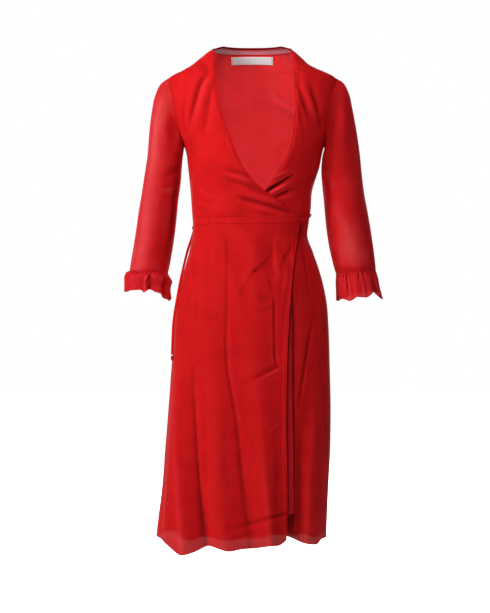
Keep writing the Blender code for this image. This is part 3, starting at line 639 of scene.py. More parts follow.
# The light behind the back comes through it, so its inner side is painted brighter: its colours
# are paler than the georgette's, and its outer side, facing the wearer's back, is painted darker
# again.
back_georgette = woven(
    "back_georgette", "#FF4854", "#FF2E3A", "#B01418", opacity=0.9, glow=0.8, behind=-0.25
)
BACK_COLUMNS = 98
angles = between(back_in, 180 - back_in, BACK_COLUMNS)
heights = bodice_heights[:, None] * np.ones(BACK_COLUMNS)
around = arc_length(angles, heights)
rise = crease_rise(around, heights, laid(BACK_BODICE_CREASES, 1))
rise += ripples(around, heights, seed=3, depth=0.35, size=60)
rise *= away_from_sides(angles, heights)
neck_shade = crease_rise(around, heights, laid(BACK_NECK_SHADE, 1))
bodice_back = cloth(
    "bodice_back_cloth", on_form(angles, heights, rise), back_georgette, rise, tone=-neck_shade
)
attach(bodice_back, "root")
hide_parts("bodice_back")

# --- Bodice fronts ---
# Two panels of georgette, each doubled with its own cloth so that nothing shows through. The
# wearer's right one laps over the left one and is drawn across to the waist corner, which
# throws folds from there. Both fold softly down from the shoulder seam along the neckline.
OVER_LIFT = 4.4
FRONT_SEAM_REACH = 12
DEEPEST_TROUGH = -8
CROSSED_RELIEF = 5  # troughs sink this much less where the fronts lie on each other
OVER_NECKLINE = named_rows(
    "height x",
    (46, -81.3), (32, -80.7), (-4, -78.5), (-36, -75.7), (-88, -66.8), (-123, -55.3), (-172, -38),
    (-198, -26.6), (-229, -9.6), (-248, 7.5), (-268, 30.3), (-289, 60), (-306, 80), (-324, 100.5),
)
UNDER_NECKLINE = named_rows(
    "height x",
    (46, 88), (27, 92), (-27, 94), (-87, 96), (-128, 92), (-154, 90), (-183, 81.6), (-203, 73),
    (-225, 59), (-248, 44.6), (-268, 32), (-295, 15), (-324, 0),
)
OVER_BODICE_CREASES = (
    # Down from the shoulder seam: hollow, ridge and hollow, side by side.
    Crease(8, 3.5, (
        (-87, 24, -1.6), (-98, -3, -3), (-108, -27, -3.6), (-124, -79, -3.6), (-131, -110, -2.4),
        (-137, -144, 0)
    )),
    Crease(4, 9, ((-84, 6, 0.5), (-99, -39, 2.4), (-112, -80, 2.4), (-124, -128, 0))),
    Crease(9, 6, (
        (-78, 6, -0.8), (-84, -30, -1.8), (-90, -62, -2), (-97, -104, -1.8), (-106, -160, 0)
    )),
    Crease(5, 7, ((-80, -40, 0), (-84, -70, 1.2), (-90, -112, 1.2), (-98, -165, 0))),
    Crease(8, 5, ((-79, -62, 0), (-90, -109, -1.3), (-100, -140, 0))),
    Crease(6, 6, ((-150, -66, 0), (-148, -105, -2.6), (-142, -148, 0))),
    Crease(3, 3, ((-56, -128, 0), (-56, -150, -1), (-55, -188, 0))),
    Crease(3, 3, ((-46, -142, 0), (-46, -158, -1), (-45, -174, 0))),
    # Under the bust, drawn across to the waist corner.
    Crease(5, 10, ((-78, -213, 0), (-41, -225, -2.2), (-5, -236, -2.6), (10, -243, -1))),
    Crease(6, 4, ((-62, -228, 0), (-24, -239, 1.6), (4, -250, 0))),
    Crease(4, 7, ((-66, -239, 0), (-20, -253, -1.8), (26, -271, -2.4), (56, -282, -1.4))),
    Crease(5, 8, ((-38, -266, 0), (8, -281, 2.6), (51, -295, 2), (80, -308, 0))),
    Crease(3.5, 8, ((-36, -277, 0), (-5, -289, -3.4), (34, -299, -3.8), (78, -313, -2))),
    Crease(4, 5, ((-10, -309, 0), (24, -316, -1.4), (50, -320, -0.5))),
    Crease(6, 9, ((-128, -232, 0), (-96, -262, -1.2), (-50, -284, 0))),
    Crease(7, 7, ((-122, -282, 0), (-84, -300, 1), (-30, -312, 0))),
)
UNDER_BODICE_CREASES = (
    Crease(8, 4, ((94, -40, 0), (97, -90, 1.2), (104, -140, 1.3), (110, -182, 0))),
    Crease(4, 8, (
        (90, 28, -1), (95, -8, -2), (101, -38, -2.6), (109, -64, -3), (118, -92, -2.6),
        (128, -128, 0)
    )),
    Crease(5, 8, (
        (126, -28, 0), (133, -56, -2.4), (143, -88, -3.6), (149, -118, -3.6), (151, -148, 0)
    )),
    Crease(7, 7, ((104, -16, 0), (116, -50, 1.6), (130, -86, 1.8), (140, -124, 0))),
    # The hollow beside the point of the neckline, with a fold above it and two below.
    Crease(4, 4.5, ((30, -272, -9), (56, -256, -8), (80, -241, -4.5), (96, -231, 0))),
    Crease(4, 6, ((44, -242, 1), (64, -232, 2.6), (86, -221, 0))),
    Crease(2.5, 3, ((50, -234, 0), (64, -228, -1.6), (80, -220, 0))),
    Crease(4, 4, ((44, -270, 1), (66, -260, 2.2), (94, -245, 0))),
    Crease(4, 4, ((48, -284, -2), (72, -272, -4), (100, -257, 0))),
    Crease(5, 4, ((66, -288, 0), (86, -279, 1.6), (108, -266, 0))),
    Crease(8, 8, ((130, -200, 0), (124, -250, -1.6), (114, -300, -1))),
    Crease(6, 8, ((136, -232, 0), (120, -270, 1.4), (110, -316, 0))),
)
UNDER_NECK_SHADE = (
    Crease(2.2, 2.6, (
        (28, -273, 1.2), (40, -267, 1.3), (60, -254, 1), (82, -239, 0.5), (92, -233, 0)
    )),
)
EDGE_ROLL = 2.2  # how far a free neck edge curls in, over its last EDGE_ROLL_REACH
EDGE_ROLL_REACH = 6


def edge_roll(around, edge_column):
    """The curl of a free edge towards the inside."""
    away = np.abs(around - around[:, edge_column][:, None])
    return EDGE_ROLL * (1 - smooth_step(0, EDGE_ROLL_REACH, away))


def over_lift(angle, height):
    """The over layer's rise: none at the right side seam, full where it laps the under layer."""
    from_side = arc_length(angle, height) - arc_length(-180, height)
    return OVER_LIFT * smooth_step(15, 95, from_side) * smooth_step(-120, -235, height)


def edge_angle(table, rows):
    """The angle of a panel's free edge on each row."""
    return angle_at(column(table, "height", rows, "x"), rows)


FRONT_COLUMNS = 108
heights = bodice_heights[:, None] * np.ones(FRONT_COLUMNS)
angles = between(-180 + front_in, edge_angle(OVER_NECKLINE, bodice_heights), FRONT_COLUMNS)
around = arc_length(angles, heights)
rise = crease_rise(around, heights, laid(OVER_BODICE_CREASES))
rise += ripples(around, heights, seed=5, depth=0.3, size=45)
rise *= away_from_sides(angles, heights, FRONT_SEAM_REACH)
crossed = smooth_step(-60, -20, body_point(angles, heights)[..., 0])
relief = CROSSED_RELIEF * crossed * smooth_step(-190, -240, heights)
rise = no_deeper(rise, DEEPEST_TROUGH + relief)
over_front_rise = over_lift(angles, heights) + rise - edge_roll(around, -1)
over_front_points = on_form(angles, heights, over_front_rise)
over_front_normals = body_normal(angles, heights)
bodice_front_right = cloth("bodice_front_right_cloth", over_front_points, georgette, rise)

angles = between(edge_angle(UNDER_NECKLINE, bodice_heights), -front_in, FRONT_COLUMNS)
around = arc_length(angles, heights)
rise = crease_rise(around, heights, laid(UNDER_BODICE_CREASES))
rise += ripples(around, heights, seed=6, depth=0.3, size=45)
rise *= away_from_sides(angles, heights, FRONT_SEAM_REACH)
under_front_points = on_form(angles, heights, rise - edge_roll(around, 0))
under_front_normals = body_normal(angles, heights)
hollow_shade = crease_rise(around, heights, laid(UNDER_NECK_SHADE))
bodice_front_left = cloth(
    "bodice_front_left_cloth", under_front_points, georgette, rise, tone=-hollow_shade
)


def socket_of(tree, name):
    """The identifier of one of a tree's named inputs."""
    return next(item.identifier for item in tree.interface.items_tree if item.name == name)


def new_tree(name, sizes):
    """A Geometry Nodes tree with a line in, a mesh out, its named sizes and its material."""
    tree = bpy.data.node_groups.new(name, "GeometryNodeTree")
    face = tree.interface
    face.new_socket("Geometry", in_out="INPUT", socket_type="NodeSocketGeometry")
    for size in sizes:
        face.new_socket(size, in_out="INPUT", socket_type="NodeSocketFloat")
    face.new_socket("Cloth", in_out="INPUT", socket_type="NodeSocketMaterial")
    face.new_socket("Geometry", in_out="OUTPUT", socket_type="NodeSocketGeometry")
    return tree, add_node(tree, "NodeGroupInput"), add_node(tree, "NodeGroupOutput")


def finish_tree(tree, source, result, target):
    """Ends a tree: instances made real, smooth shading and the piece's material."""
    real = add_node(tree, "GeometryNodeRealizeInstances", {0: result})
    smooth = add_node(tree, "GeometryNodeSetShadeSmooth", {0: real.outputs[0]})
    clad = {0: smooth.outputs[0], "Material": source.outputs["Cloth"]}
    clad = add_node(tree, "GeometryNodeSetMaterial", clad)
    tree.links.new(clad.outputs[0], target.inputs[0])


rolled_edge, source, target = new_tree("rolled edge", ("Radius", "Spacing"))
line = add_node(rolled_edge, "GeometryNodeMeshToCurve", {0: source.outputs[0]})
even = {0: line.outputs[0], "Length": source.outputs["Spacing"]}
even = add_node(rolled_edge, "GeometryNodeResampleCurve", even, mode="LENGTH")
circle = {"Resolution": 7, "Radius": source.outputs["Radius"]}
circle = add_node(rolled_edge, "GeometryNodeCurvePrimitiveCircle", circle)
swept = {"Curve": even.outputs[0], "Profile Curve": circle.outputs[0], "Fill Caps": True}
swept = add_node(rolled_edge, "GeometryNodeCurveToMesh", swept)
finish_tree(rolled_edge, source, swept.outputs[0], target)

stitch_line, source, target = new_tree("stitch line", ("Pitch", "Length", "Thickness"))
line = add_node(stitch_line, "GeometryNodeMeshToCurve", {0: source.outputs[0]})
even = {0: line.outputs[0], "Length": source.outputs["Pitch"]}
even = add_node(stitch_line, "GeometryNodeResampleCurve", even, mode="LENGTH")
tangent = add_node(stitch_line, "GeometryNodeInputTangent")
turn = {"Vector": tangent.outputs[0]}
turn = add_node(stitch_line, "FunctionNodeAlignRotationToVector", turn, axis="Z")
half_length = {0: source.outputs["Length"], 1: 0.5}
half_length = add_node(stitch_line, "ShaderNodeMath", half_length, operation="MULTIPLY")
half_thick = {0: source.outputs["Thickness"], 1: 0.5}
half_thick = add_node(stitch_line, "ShaderNodeMath", half_thick, operation="MULTIPLY")
size = {0: half_thick.outputs[0], 1: half_thick.outputs[0], 2: half_length.outputs[0]}
size = add_node(stitch_line, "ShaderNodeCombineXYZ", size)
thread = {"Segments": 6, "Rings": 4, "Radius": 1.0}
thread = add_node(stitch_line, "GeometryNodeMeshUVSphere", thread)
sewn = {
    "Points": even.outputs[0],
    "Instance": thread.outputs[0],
    "Rotation": turn.outputs[0],
    "Scale": size.outputs[0],
}
sewn = add_node(stitch_line, "GeometryNodeInstanceOnPoints", sewn)
finish_tree(stitch_line, source, sewn.outputs[0], target)


def along_lines(name, lines, tree, sizes, material):
    """One plain mesh made by a tree along each of some lines of points in millimetres."""
    points = np.concatenate(lines)
    edges = []
    start = 0
    for route in lines:
        edges += [(start + i, start + i + 1) for i in range(len(route) - 1)]
        start += len(route)
    data = bpy.data.meshes.new(name)
    data.from_pydata((points * MM).tolist(), edges, [])
    thing = add_object(name, data)
    modifier = thing.modifiers.new(tree.name, "NODES")
    modifier.node_group = tree
    for size, value in sizes.items():
        modifier[socket_of(tree, size)] = value * MM
    modifier[socket_of(tree, "Cloth")] = material
    graph = bpy.context.evaluated_depsgraph_get()
    plain = bpy.data.meshes.new_from_object(thing.evaluated_get(graph))
    thing.modifiers.remove(modifier)
    thing.data = plain
    bpy.data.meshes.remove(data)
    thing.data.name = name
    return thing


# Spun polyester thread: a little glossier than the georgette, its red darker and lighter in small
# random patches.
THREAD_TWIST = 1.2
red_thread, tree, shader = new_material("red_thread", {"Roughness": 0.55})
place = add_node(tree, "ShaderNodeTexCoord").outputs["Object"]
twist = {"Vector": place, "Scale": 1 / (THREAD_TWIST * MM), "Detail": 1.0}
twist = add_node(tree, "ShaderNodeTexNoise", twist).outputs["Fac"]
shades = add_node(tree, "ShaderNodeValToRGB", {"Fac": twist})
shades.color_ramp.elements[0].color = linear("#A01014")
shades.color_ramp.elements[1].color = linear("#C2161A")
tree.links.new(shades.outputs["Color"], shader.inputs["Base Color"])

STITCH = {"Pitch": 3.2, "Length": 2.3, "Thickness": 0.42}
NECK_HEM = 5.5
STITCH_PROUD = 0.1
NECK_ROLL_INSET, NECK_ROLL_DEPTH = 0.2, 0.3


def inset_line(points, normals, column_number, reach, proud):
    """A line on the cloth at a distance in from its first or last column."""
    inner = 1 if column_number == 0 else -2
    inward = unit(points[:, inner * 3] - points[:, column_number])
    return points[:, column_number] + inward * reach + normals[:, column_number] * proud


neck_edges = [
    inset_line(over_front_points, over_front_normals, -1, NECK_ROLL_INSET, -NECK_ROLL_DEPTH),
    inset_line(under_front_points, under_front_normals, 0, NECK_ROLL_INSET, -NECK_ROLL_DEPTH),
]
neckline_edge = along_lines(
    "neckline_rolled_edge", neck_edges, rolled_edge, {"Radius": 0.75, "Spacing": 4}, georgette
)
neck_seams = [
    inset_line(over_front_points, over_front_normals, -1, NECK_HEM, STITCH_PROUD),
    inset_line(under_front_points, under_front_normals, 0, NECK_HEM, STITCH_PROUD),
]
neckline_stitches = along_lines("neckline_stitches", neck_seams, stitch_line, STITCH, red_thread)
for piece in (neckline_edge, neckline_stitches):
    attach(piece, "root")
for piece, node, cut, area, below in (
    (bodice_front_right, "bodice_front_right", (0.30, 0.40), 0.063, "waistband_front_right"),
    (bodice_front_left, "bodice_front_left", (0.26, 0.40), 0.049, "waistband_front_left"),
):
    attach(piece, "root")
    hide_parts(node)

# --- Back neck strip, rolled edge and label ---
# One sheer layer of georgette stands behind the neck, painted pale pink for the light that comes
# through it. Its top is bound with a narrow roll of the same cloth, doubled, and painted darker
# for the little light that comes through it. A bare white satin label is sewn below its seam by
# its two folded ends.
BAND_TOP = 62
BAND_TOP_AT_SHOULDER = 52.5
BINDING_HEIGHT = 5
BINDING_HEIGHT_AT_SHOULDER = 3.5
BAND_COLUMNS = 90
BAND_TUCK = 1.2  # how far the strip reaches up into the roll
# Painted pale pink for the light that comes through one layer.
strip_georgette = woven(
    "sheer_neck_georgette", "#EC7C8C", "#DE6278", "#A82838", opacity=0.72
)
# Painted darker: the doubled roll lets little light through.
binding_georgette = woven("doubled_binding_georgette", "#A8121C", "#8E0C16", "#5C040A")
band_in = seam_angle(BAND_TOP)
behind_angles = np.linspace(band_in, 180 - band_in, BAND_COLUMNS)
behind = smooth_step(0, 0.5, np.sin(np.radians(behind_angles)))
edge_top = BAND_TOP_AT_SHOULDER + (BAND_TOP - BAND_TOP_AT_SHOULDER) * behind
roll = BINDING_HEIGHT_AT_SHOULDER + (BINDING_HEIGHT - BINDING_HEIGHT_AT_SHOULDER) * behind
band_foot = np.full(BAND_COLUMNS, NECK_SEAM + SEAM_GAP)
heights = np.linspace(edge_top - roll + BAND_TUCK, band_foot, 6)
angles = np.tile(behind_angles, (6, 1))
flutter = ripples(arc_length(angles, heights), heights, seed=9, depth=0.4, size=40)
back_neck_band = cloth(
    "back_neck_band_cloth", on_form(angles, heights, flutter), strip_georgette, flutter
)
roll_middle = edge_top - roll / 2
back_neck_binding = strap(
    "back_neck_binding_cloth",
    on_form(behind_angles, roll_middle, -0.6),
    body_normal(behind_angles, roll_middle),
    binding_georgette,
    width=4.6,
    thickness=2.2,
)
LABEL_FOOT, LABEL_TOP = 24.4, 41.4
LABEL_RIGHT, LABEL_LEFT = -44, 50
LABEL_DEPTH = -1.9
LABEL_SAG = 1.5  # its middle hangs lower than its sewn ends
LABEL_BUCKLE = 1.2  # and stands this much further off the back
LABEL_SEWN = 0.035  # of its width, in from each end
LABEL_STITCH_PROUD = 0.75
LABEL_COLUMNS = 42
LABEL_ROWS = 12
SATIN_PICK = 0.9
# Woven satin: smooth and white, with a low soft gloss and fine ridges across.
satin_finish = {"Roughness": 0.42, "Sheen Weight": 0.2}
satin, tree, shader = new_material("white_woven_satin", satin_finish)
cloth_uv = add_node(tree, "ShaderNodeUVMap", uv_map="cloth").outputs["UV"]
picks = {"Vector": cloth_uv, "Scale": WAVE_SCALE / (SATIN_PICK * MM), "Distortion": 0.6}
picks = add_node(tree, "ShaderNodeTexWave", picks, bands_direction="Y").outputs["Fac"]
shades = add_node(tree, "ShaderNodeValToRGB", {"Fac": picks})
shades.color_ramp.elements[0].color = linear("#F1F0F0")
shades.color_ramp.elements[1].color = linear("#FFFFFF")
ridges = add_node(tree, "ShaderNodeBump", {"Strength": 0.3, "Distance": 0.1 * MM, "Height": picks})
tree.links.new(shades.outputs["Color"], shader.inputs["Base Color"])
tree.links.new(ridges.outputs["Normal"], shader.inputs["Normal"])
label_heights = np.linspace(LABEL_TOP, LABEL_FOOT, LABEL_ROWS)
label_start = angle_at(LABEL_LEFT, label_heights, 1)
label_end = angle_at(LABEL_RIGHT, label_heights, 1)
angles = between(label_start, label_end, LABEL_COLUMNS)
width_share = np.linspace(0, 1, LABEL_COLUMNS)
heights = label_heights[:, None] + LABEL_SAG * np.sin(np.pi * width_share)[None, :]
buckle = LABEL_DEPTH - LABEL_BUCKLE * np.sin(np.pi * width_share) ** 2 * np.ones_like(heights)
neck_label = cloth("neck_label_satin", on_form(angles, heights, buckle), satin, wall=0.5)
stitch_depth = LABEL_DEPTH - LABEL_STITCH_PROUD
label_ends = [
    on_form(label_start + (label_end - label_start) * share, label_heights, stitch_depth)
    for share in (LABEL_SEWN, 1 - LABEL_SEWN)
]
LABEL_STITCH = {"Pitch": 2.2, "Length": 1.7, "Thickness": 0.6}
label_stitches = along_lines("label_stitches", label_ends, stitch_line, LABEL_STITCH, red_thread)
for piece, node, named in (
    (back_neck_band, "back_neck_band", "sheer_georgette"),
    (back_neck_binding, "back_neck_binding", "georgette"),
    (neck_label, "neck_label", "label_satin"),
):
    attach(piece, "root")
    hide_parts(node)
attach(label_stitches, "root")

# --- Waistband and waist tie ---
# A narrow band of doubled georgette joins bodice and skirt. The tie starts at the over lap's
# corner, lies round the wearer's left side and the back, and is knotted at the right side.
WAISTBAND_FOOT = -338.5
OVER_LAP_EDGE = named_rows(
    "height x",
    (-324, 100.5), (-338, 100), (-408, 91.4), (-459, 86), (-519, 81), (-609, 76), (-758, 73),
    (-956, 75), (-1020, 73),
)
UNDER_LAP_EDGE = named_rows(
    "height x",
    (-324, 0), (-358, 1), (-679, 3), (-1020, -6),
)
band_heights = np.linspace(WAIST_SEAM - SEAM_GAP / 2, WAISTBAND_FOOT + SEAM_GAP / 2, 6)
side_in = seam_angle(band_heights)
over_band_end = edge_angle(OVER_LAP_EDGE, band_heights)
under_band_end = edge_angle(UNDER_LAP_EDGE, band_heights)
WAISTBANDS = (
    ("waistband_front_right", -180 + side_in, over_band_end, 86, 0.285, "bodice_front_right"),
    ("waistband_front_left", under_band_end, -side_in, 58, 0.18, "bodice_front_left"),
    ("waistband_back", side_in, 180 - side_in, 110, 0.35, "bodice_back"),
)
STITCH_INSET = 1.6
BAND_STITCH_PROUD = 0.05
SEAM_DEPTH = 0.9  # a seam's allowance is rolled to this far inside the cloth's face
waist_seams = []
waist_sewing = []
for node, start, end, count, cut_length, above in WAISTBANDS:
    angles = between(start, end, count)
    heights = band_heights[:, None] * np.ones(count)
    lift = over_lift(angles, heights) if node == "waistband_front_right" else 0 * angles
    around = arc_length(angles, heights)
    pucker = ripples(around, heights, seed=11, depth=0.12, size=14, stretch=1)
    pucker *= away_from_sides(angles, heights)
    points = on_form(angles, heights, lift + pucker)
    band = cloth(node + "_cloth", points, georgette, pucker)
    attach(band, "root")
    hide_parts(node)
    rise = lift + pucker
    for row, rim in ((0, WAIST_SEAM), (-1, WAISTBAND_FOOT)):
        waist_seams.append(on_form(angles[row], rim, rise[row] - SEAM_DEPTH))
    waist_sewing.append(on_form(angles[0], heights[0] - STITCH_INSET, rise[0] + BAND_STITCH_PROUD))
waist_stitches = along_lines("waist_stitches", waist_sewing, stitch_line, STITCH, red_thread)
waist_allowance = along_lines(
    "waist_seam_allowance", waist_seams, rolled_edge, {"Radius": 0.8, "Spacing": 4}, georgette
)
for piece in (waist_stitches, waist_allowance):
    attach(piece, "root")

TIE_STANDOFF = 3.5  # the tie's middle from the form
TIE_SETTLED = 1.2  # how much closer the pressed strap lies than its table says
WAIST_TIE = named_rows(
    "angle height standoff",
    (-38.9, -328, 4.4), (-30, -325, 5.4), (-18, -320, 4.6), (-4, -315, TIE_STANDOFF),
    (30, -317, TIE_STANDOFF), (70, -322, TIE_STANDOFF), (110, -325, TIE_STANDOFF),
    (135, -331, TIE_STANDOFF), (147, -336, TIE_STANDOFF), (154.7, -341, TIE_STANDOFF + 2.6),
)
tie_angles = np.linspace(WAIST_TIE[0].angle, WAIST_TIE[-1].angle, 150)
tie_heights = column(WAIST_TIE, "angle", tie_angles, "height")
tie_standoff = column(WAIST_TIE, "angle", tie_angles, "standoff") - TIE_SETTLED
waist_tie = strap(
    "waist_tie_cloth",
    on_form(tie_angles, tie_heights, tie_standoff),
    body_normal(tie_angles, tie_heights),
    georgette,
)
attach(waist_tie, "root")
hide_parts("waist_tie")

# --- Skirt ---
# Three panels of one georgette layer each, so what lies behind them shows faintly: the lining
# down to its own hem, and below that only air. The right front laps over the left front. The
# free edges and the hem are rolled by hand, so they read as a fine darker line.
SKIRT_TOP = WAISTBAND_FOOT - SEAM_GAP / 2
HEM = -1020
LINING_DEPTH = -5.0
OVER_LINING_EDGE = named_rows(
    "height x",
    (-338, 92), (-440, 83.5), (-472, 84.8), (-500, 86.6), (-540, 87.4), (-600, 87.6), (-707, 88),
    (-821, 90), (-980, 89),
)
OVER_HEM = named_rows(
    "x height",
    (-208, -1016), (-187, -1018), (-160, -1031), (-133, -1045), (-118, -1040), (-90, -1025),
    (-66, -1030), (-48, -1035), (-21, -1031), (6, -1029), (36, -1024), (63, -1021), (76, -1011),
)
UNDER_HEM = named_rows(
    "x height",
    (-8, -1012), (79, -1006), (96, -1014), (111, -1022), (127, -1026), (140, -1026), (147, -1020),
    (165, -1019),
)
BACK_HEM = named_rows(
    "x height",
    (-208, -1016), (-150, -1020), (-95, -1013), (-40, -1019), (20, -1012), (80, -1018),
    (130, -1013), (165, -1019),
)
# A fold line is where two nearly flat parts of the cloth meet, rounded by its first number:
# a ridge where it stands out and a valley where it lies back. Lines run in order round the body.
Fold = namedtuple("Fold", "rounding route")
OVER_SKIRT_FOLDS = (
    Fold(5, (
        (-120, -345, 0), (-150, -490, 0), (-162, -600, 0), (-174, -760, 1), (-182, -900, 1.5),
        (-194, -1046, 2)
    )),
    Fold(1.6, (
        (-108, -345, 0), (-134, -490, 0), (-148, -600, 1), (-154, -716, 11), (-149.5, -824, 20.5),
        (-140.5, -946, 27.5), (-133.5, -1046, 28.5)
    )),
    Fold(1.8, (
        (-92, -345, 0), (-112, -490, 0), (-122, -640, -0.6), (-121, -717, -2.4), (-115, -826, -3),
        (-106, -934, -3), (-94, -1046, -3)
    )),
    Fold(7, (
        (-72, -345, 0.5), (-84, -490, 1.6), (-88, -600, 3), (-82, -716, 9.5), (-77, -823, 14.5),
        (-71, -945, 17), (-60, -1046, 17)
    )),
    Fold(1.8, (
        (-46, -345, -0.6), (-52, -507, -1.8), (-53, -619, -2.2), (-45, -684, -2.4),
        (-38, -716, -2.8), (-21.7, -850, -3), (-10, -959, -3), (-2, -1046, -3)
    )),
    Fold(1.8, (
        (2, -345, 1.6), (2, -380, 3.8), (2, -420, 4.8), (3, -640, 5), (12, -699, 6), (22, -797, 10),
        (27.4, -878, 13), (35.5, -959, 14.5), (41, -1046, 15)
    )),
    Fold(3, (
        (42, -345, -1.2), (41, -400, -2.6), (38, -440, -2.4), (36, -500, 1), (38, -640, 1.5),
        (44, -760, 3), (50, -900, 4.9), (54, -1046, 6)
    )),
    Fold(4, ((60, -345, 0), (54, -640, 0), (58, -760, 0), (62, -900, 0), (64, -1046, -0.5))),
)
OVER_SKIRT_CREASES = (
    # Each pressed valley has a sharp bottom with a thin rim on its left.
    Crease(3.5, 2, (
        (-48, -350, -0.6), (-52, -507, -1.2), (-53, -619, -1.4), (-45, -684, -1.5),
        (-38, -716, -1.5), (-21.7, -850, -1.2), (-10, -959, -0.8), (-5, -1010, 0)
    )),
    Crease(2.5, 6, (
        (-47, -490, 0), (-48, -619, 1), (-40, -684, 1.3), (-33, -716, 1.3), (-16.7, -850, 1),
        (-6, -940, 0)
    )),
    Crease(3, 2, (
        (-124, -640, 0), (-121, -717, -1), (-115, -826, -1.2), (-106, -934, -1), (-98, -1010, 0)
    )),
    Crease(2.5, 6, (
        (-120, -650, 0), (-116, -717, 1), (-110, -826, 1.2), (-101, -934, 0.8), (-94, -990, 0)
    )),
    # Under the waist corner: a pinch where two drawn folds meet, and what runs off it.
    Crease(2.5, 11, (
        (46, -374, 0), (42, -408, -2), (23, -428, -2.2), (8, -441, -2.8), (-6, -462, -1.6),
        (-20, -486, -0.8), (-32, -496, 0)
    )),
    Crease(3, 3, ((4, -437, 0), (8.5, -441, -2.4), (14, -438, 0))),
    Crease(5, 6, ((59, -352, 0), (52, -425, 2.2), (58, -446, 2.2), (50, -470, 0))),
    Crease(3, 6, ((89, -374, 0), (80, -398, -1.8), (66, -424, -1.4), (60, -440, 0))),
    Crease(4, 5, ((82, -420, 0), (72, -470, 1.4), (62, -520, 0))),
    Crease(2.2, 2, (
        (48, -492, 0), (48.5, -505, -1.8), (50, -580, -1.9), (56, -646, -1.6), (60, -655, 0)
    )),
    Crease(3, 4, ((38, -450, 0), (42, -472, -1.2), (44, -492, 0))),
    Crease(2.5, 3, ((10, -500, 0), (24, -501, -0.9), (42, -498, 0))),
    Crease(2.5, 4, ((4, -522, 0), (14, -525, -0.9), (46, -521, -0.5), (50, -520, 0))),
    Crease(2, 9, (
        (-26, -690, 0), (8, -672, -1.6), (27, -661, -2.4), (56, -647, -2), (64, -643, 0)
    )),
    Crease(3, 2, ((8, -679, 0), (28, -667, 1), (58, -652, 1.8), (64, -648, 0))),
    Crease(2.5, 2.5, ((26, -795, 0), (50, -774, 1.1), (72, -753, 0))),
    Crease(10, 12, ((-112, -345, 0), (-116, -440, 0.9), (-124, -560, 0))),
    Crease(7, 10, ((-86, -350, 0), (-92, -430, -1), (-98, -600, -0.8), (-96, -700, 0))),
    Crease(5, 7, ((-142, -560, 0), (-150, -640, -0.9), (-168, -760, 0))),
    Crease(6, 8, ((-62, -770, 0), (-56, -850, -1.4), (-52, -930, 0))),
    Crease(5, 7, ((50, -800, 0), (54, -860, -1.2), (50, -930, -1.2), (52, -1000, 0))),
    # The stiff foot of the lining shows through above the hem.
    Crease(2.5, 6, (
        (-66, -997, 0), (-27, -985, -1.4), (8, -976, -1.8), (74, -958, -1.8), (82, -957, 0)
    )),
    Crease(3, 4, ((-50, -1010, 0), (-10, -1000, -0.9), (30, -992, 0))),
    # The rolled wrap edge stands a little proud.
    Crease(3, 4, (
        (96, -345, 0), (87, -408, 0.9), (77, -519, 1.1), (72, -609, 1.1), (69, -758, 1.1),
        (71, -956, 1.1), (70, -1020, 0.5)
    )),
)
UNDER_SKIRT_FOLDS = (
    Fold(3, (
        (104, -345, 0), (110, -436, 0), (116, -560, 0), (117, -716, -0.8), (109, -786, -2),
        (102, -867, -2.6), (100, -950, -2.8), (99, -1046, -2.8)
    )),
    Fold(2.4, (
        (112, -345, 0), (126, -436, 0), (138, -560, 0), (137, -640, 0.6), (136, -716, 3),
        (130, -801, 7), (120, -901, 9), (117, -972, 10), (114, -1046, 10)
    )),
    Fold(5, (
        (119, -345, 0), (140, -436, 0), (158, -560, 0), (161, -640, 0), (160, -860, 1),
        (150, -1046, 2)
    )),
)
UNDER_SKIRT_CREASES = (
    Crease(6, 2.4, (
        (136, -520, 0), (130, -563, -1.8), (119, -626, -2.6), (107, -704, -2), (100, -740, 0)
    )),
    Crease(4, 4, ((110, -380, 0), (114, -410, -1.2), (121, -457, -1), (126, -500, 0))),
    Crease(6, 8, ((140, -480, 0), (146, -560, 1), (140, -680, 0))),
    Crease(3, 5, ((100, -1000, 0), (118, -1004, -0.9), (140, -996, 0))),
)
BACK_SKIRT_FOLDS = (
    Fold(3, ((104, -345, 0), (124, -490, 0), (130, -600, 0.6), (132, -800, 3), (136, -1046, 6))),
    Fold(2, (
        (86, -345, 0), (98, -490, -0.3), (100, -600, -0.6), (98, -800, -2.2), (96, -1046, -3)
    )),
    Fold(6, ((54, -345, 0.4), (60, -600, 2), (62, -800, 4.4), (64, -1046, 6))),
    Fold(2, ((24, -345, -0.4), (24, -600, -1.6), (22, -800, -2.6), (18, -1046, -3))),
    Fold(4, ((-12, -345, 0.4), (-16, -600, 1.6), (-20, -800, 4), (-24, -1046, 6.6))),
    Fold(2, ((-46, -345, 0), (-58, -600, -1.2), (-66, -800, -2.6), (-72, -1046, -3))),
    Fold(3, (
        (-78, -345, 0), (-96, -490, 0.4), (-104, -600, 1), (-114, -800, 4.4), (-122, -1046, 8)
    )),
    Fold(3, (
        (-104, -345, 0), (-130, -490, 0), (-142, -600, -0.6), (-150, -800, -1.6),
        (-158, -1046, -2.6)
    )),
)
BACK_SKIRT_CREASES = (
    Crease(2, 3.5, ((26, -380, 0), (24, -600, -1.2), (22, -800, -1.2), (19, -980, 0))),
    Crease(2, 3.5, ((-55, -420, 0), (-58, -600, -1), (-66, -800, -1.2), (-71, -980, 0))),
    Crease(5, 9, ((-30, -352, 0), (-52, -400, 2), (-88, -446, 0))),
    Crease(9, 4, ((40, -350, 0), (60, -396, -2), (92, -430, 0))),
    Crease(3, 8, ((-10, -560, 0), (-34, -590, -1.8), (-60, -640, 0))),
    Crease(8, 3, ((10, -700, 0), (40, -730, -1.6), (70, -780, 0))),
)
skirt_georgette = woven(
    "skirt_georgette", GEORGETTE_PALE_AND_LIT, GEORGETTE_RED, GEORGETTE_DEEP_AND_SHADED, opacity=0.9
)


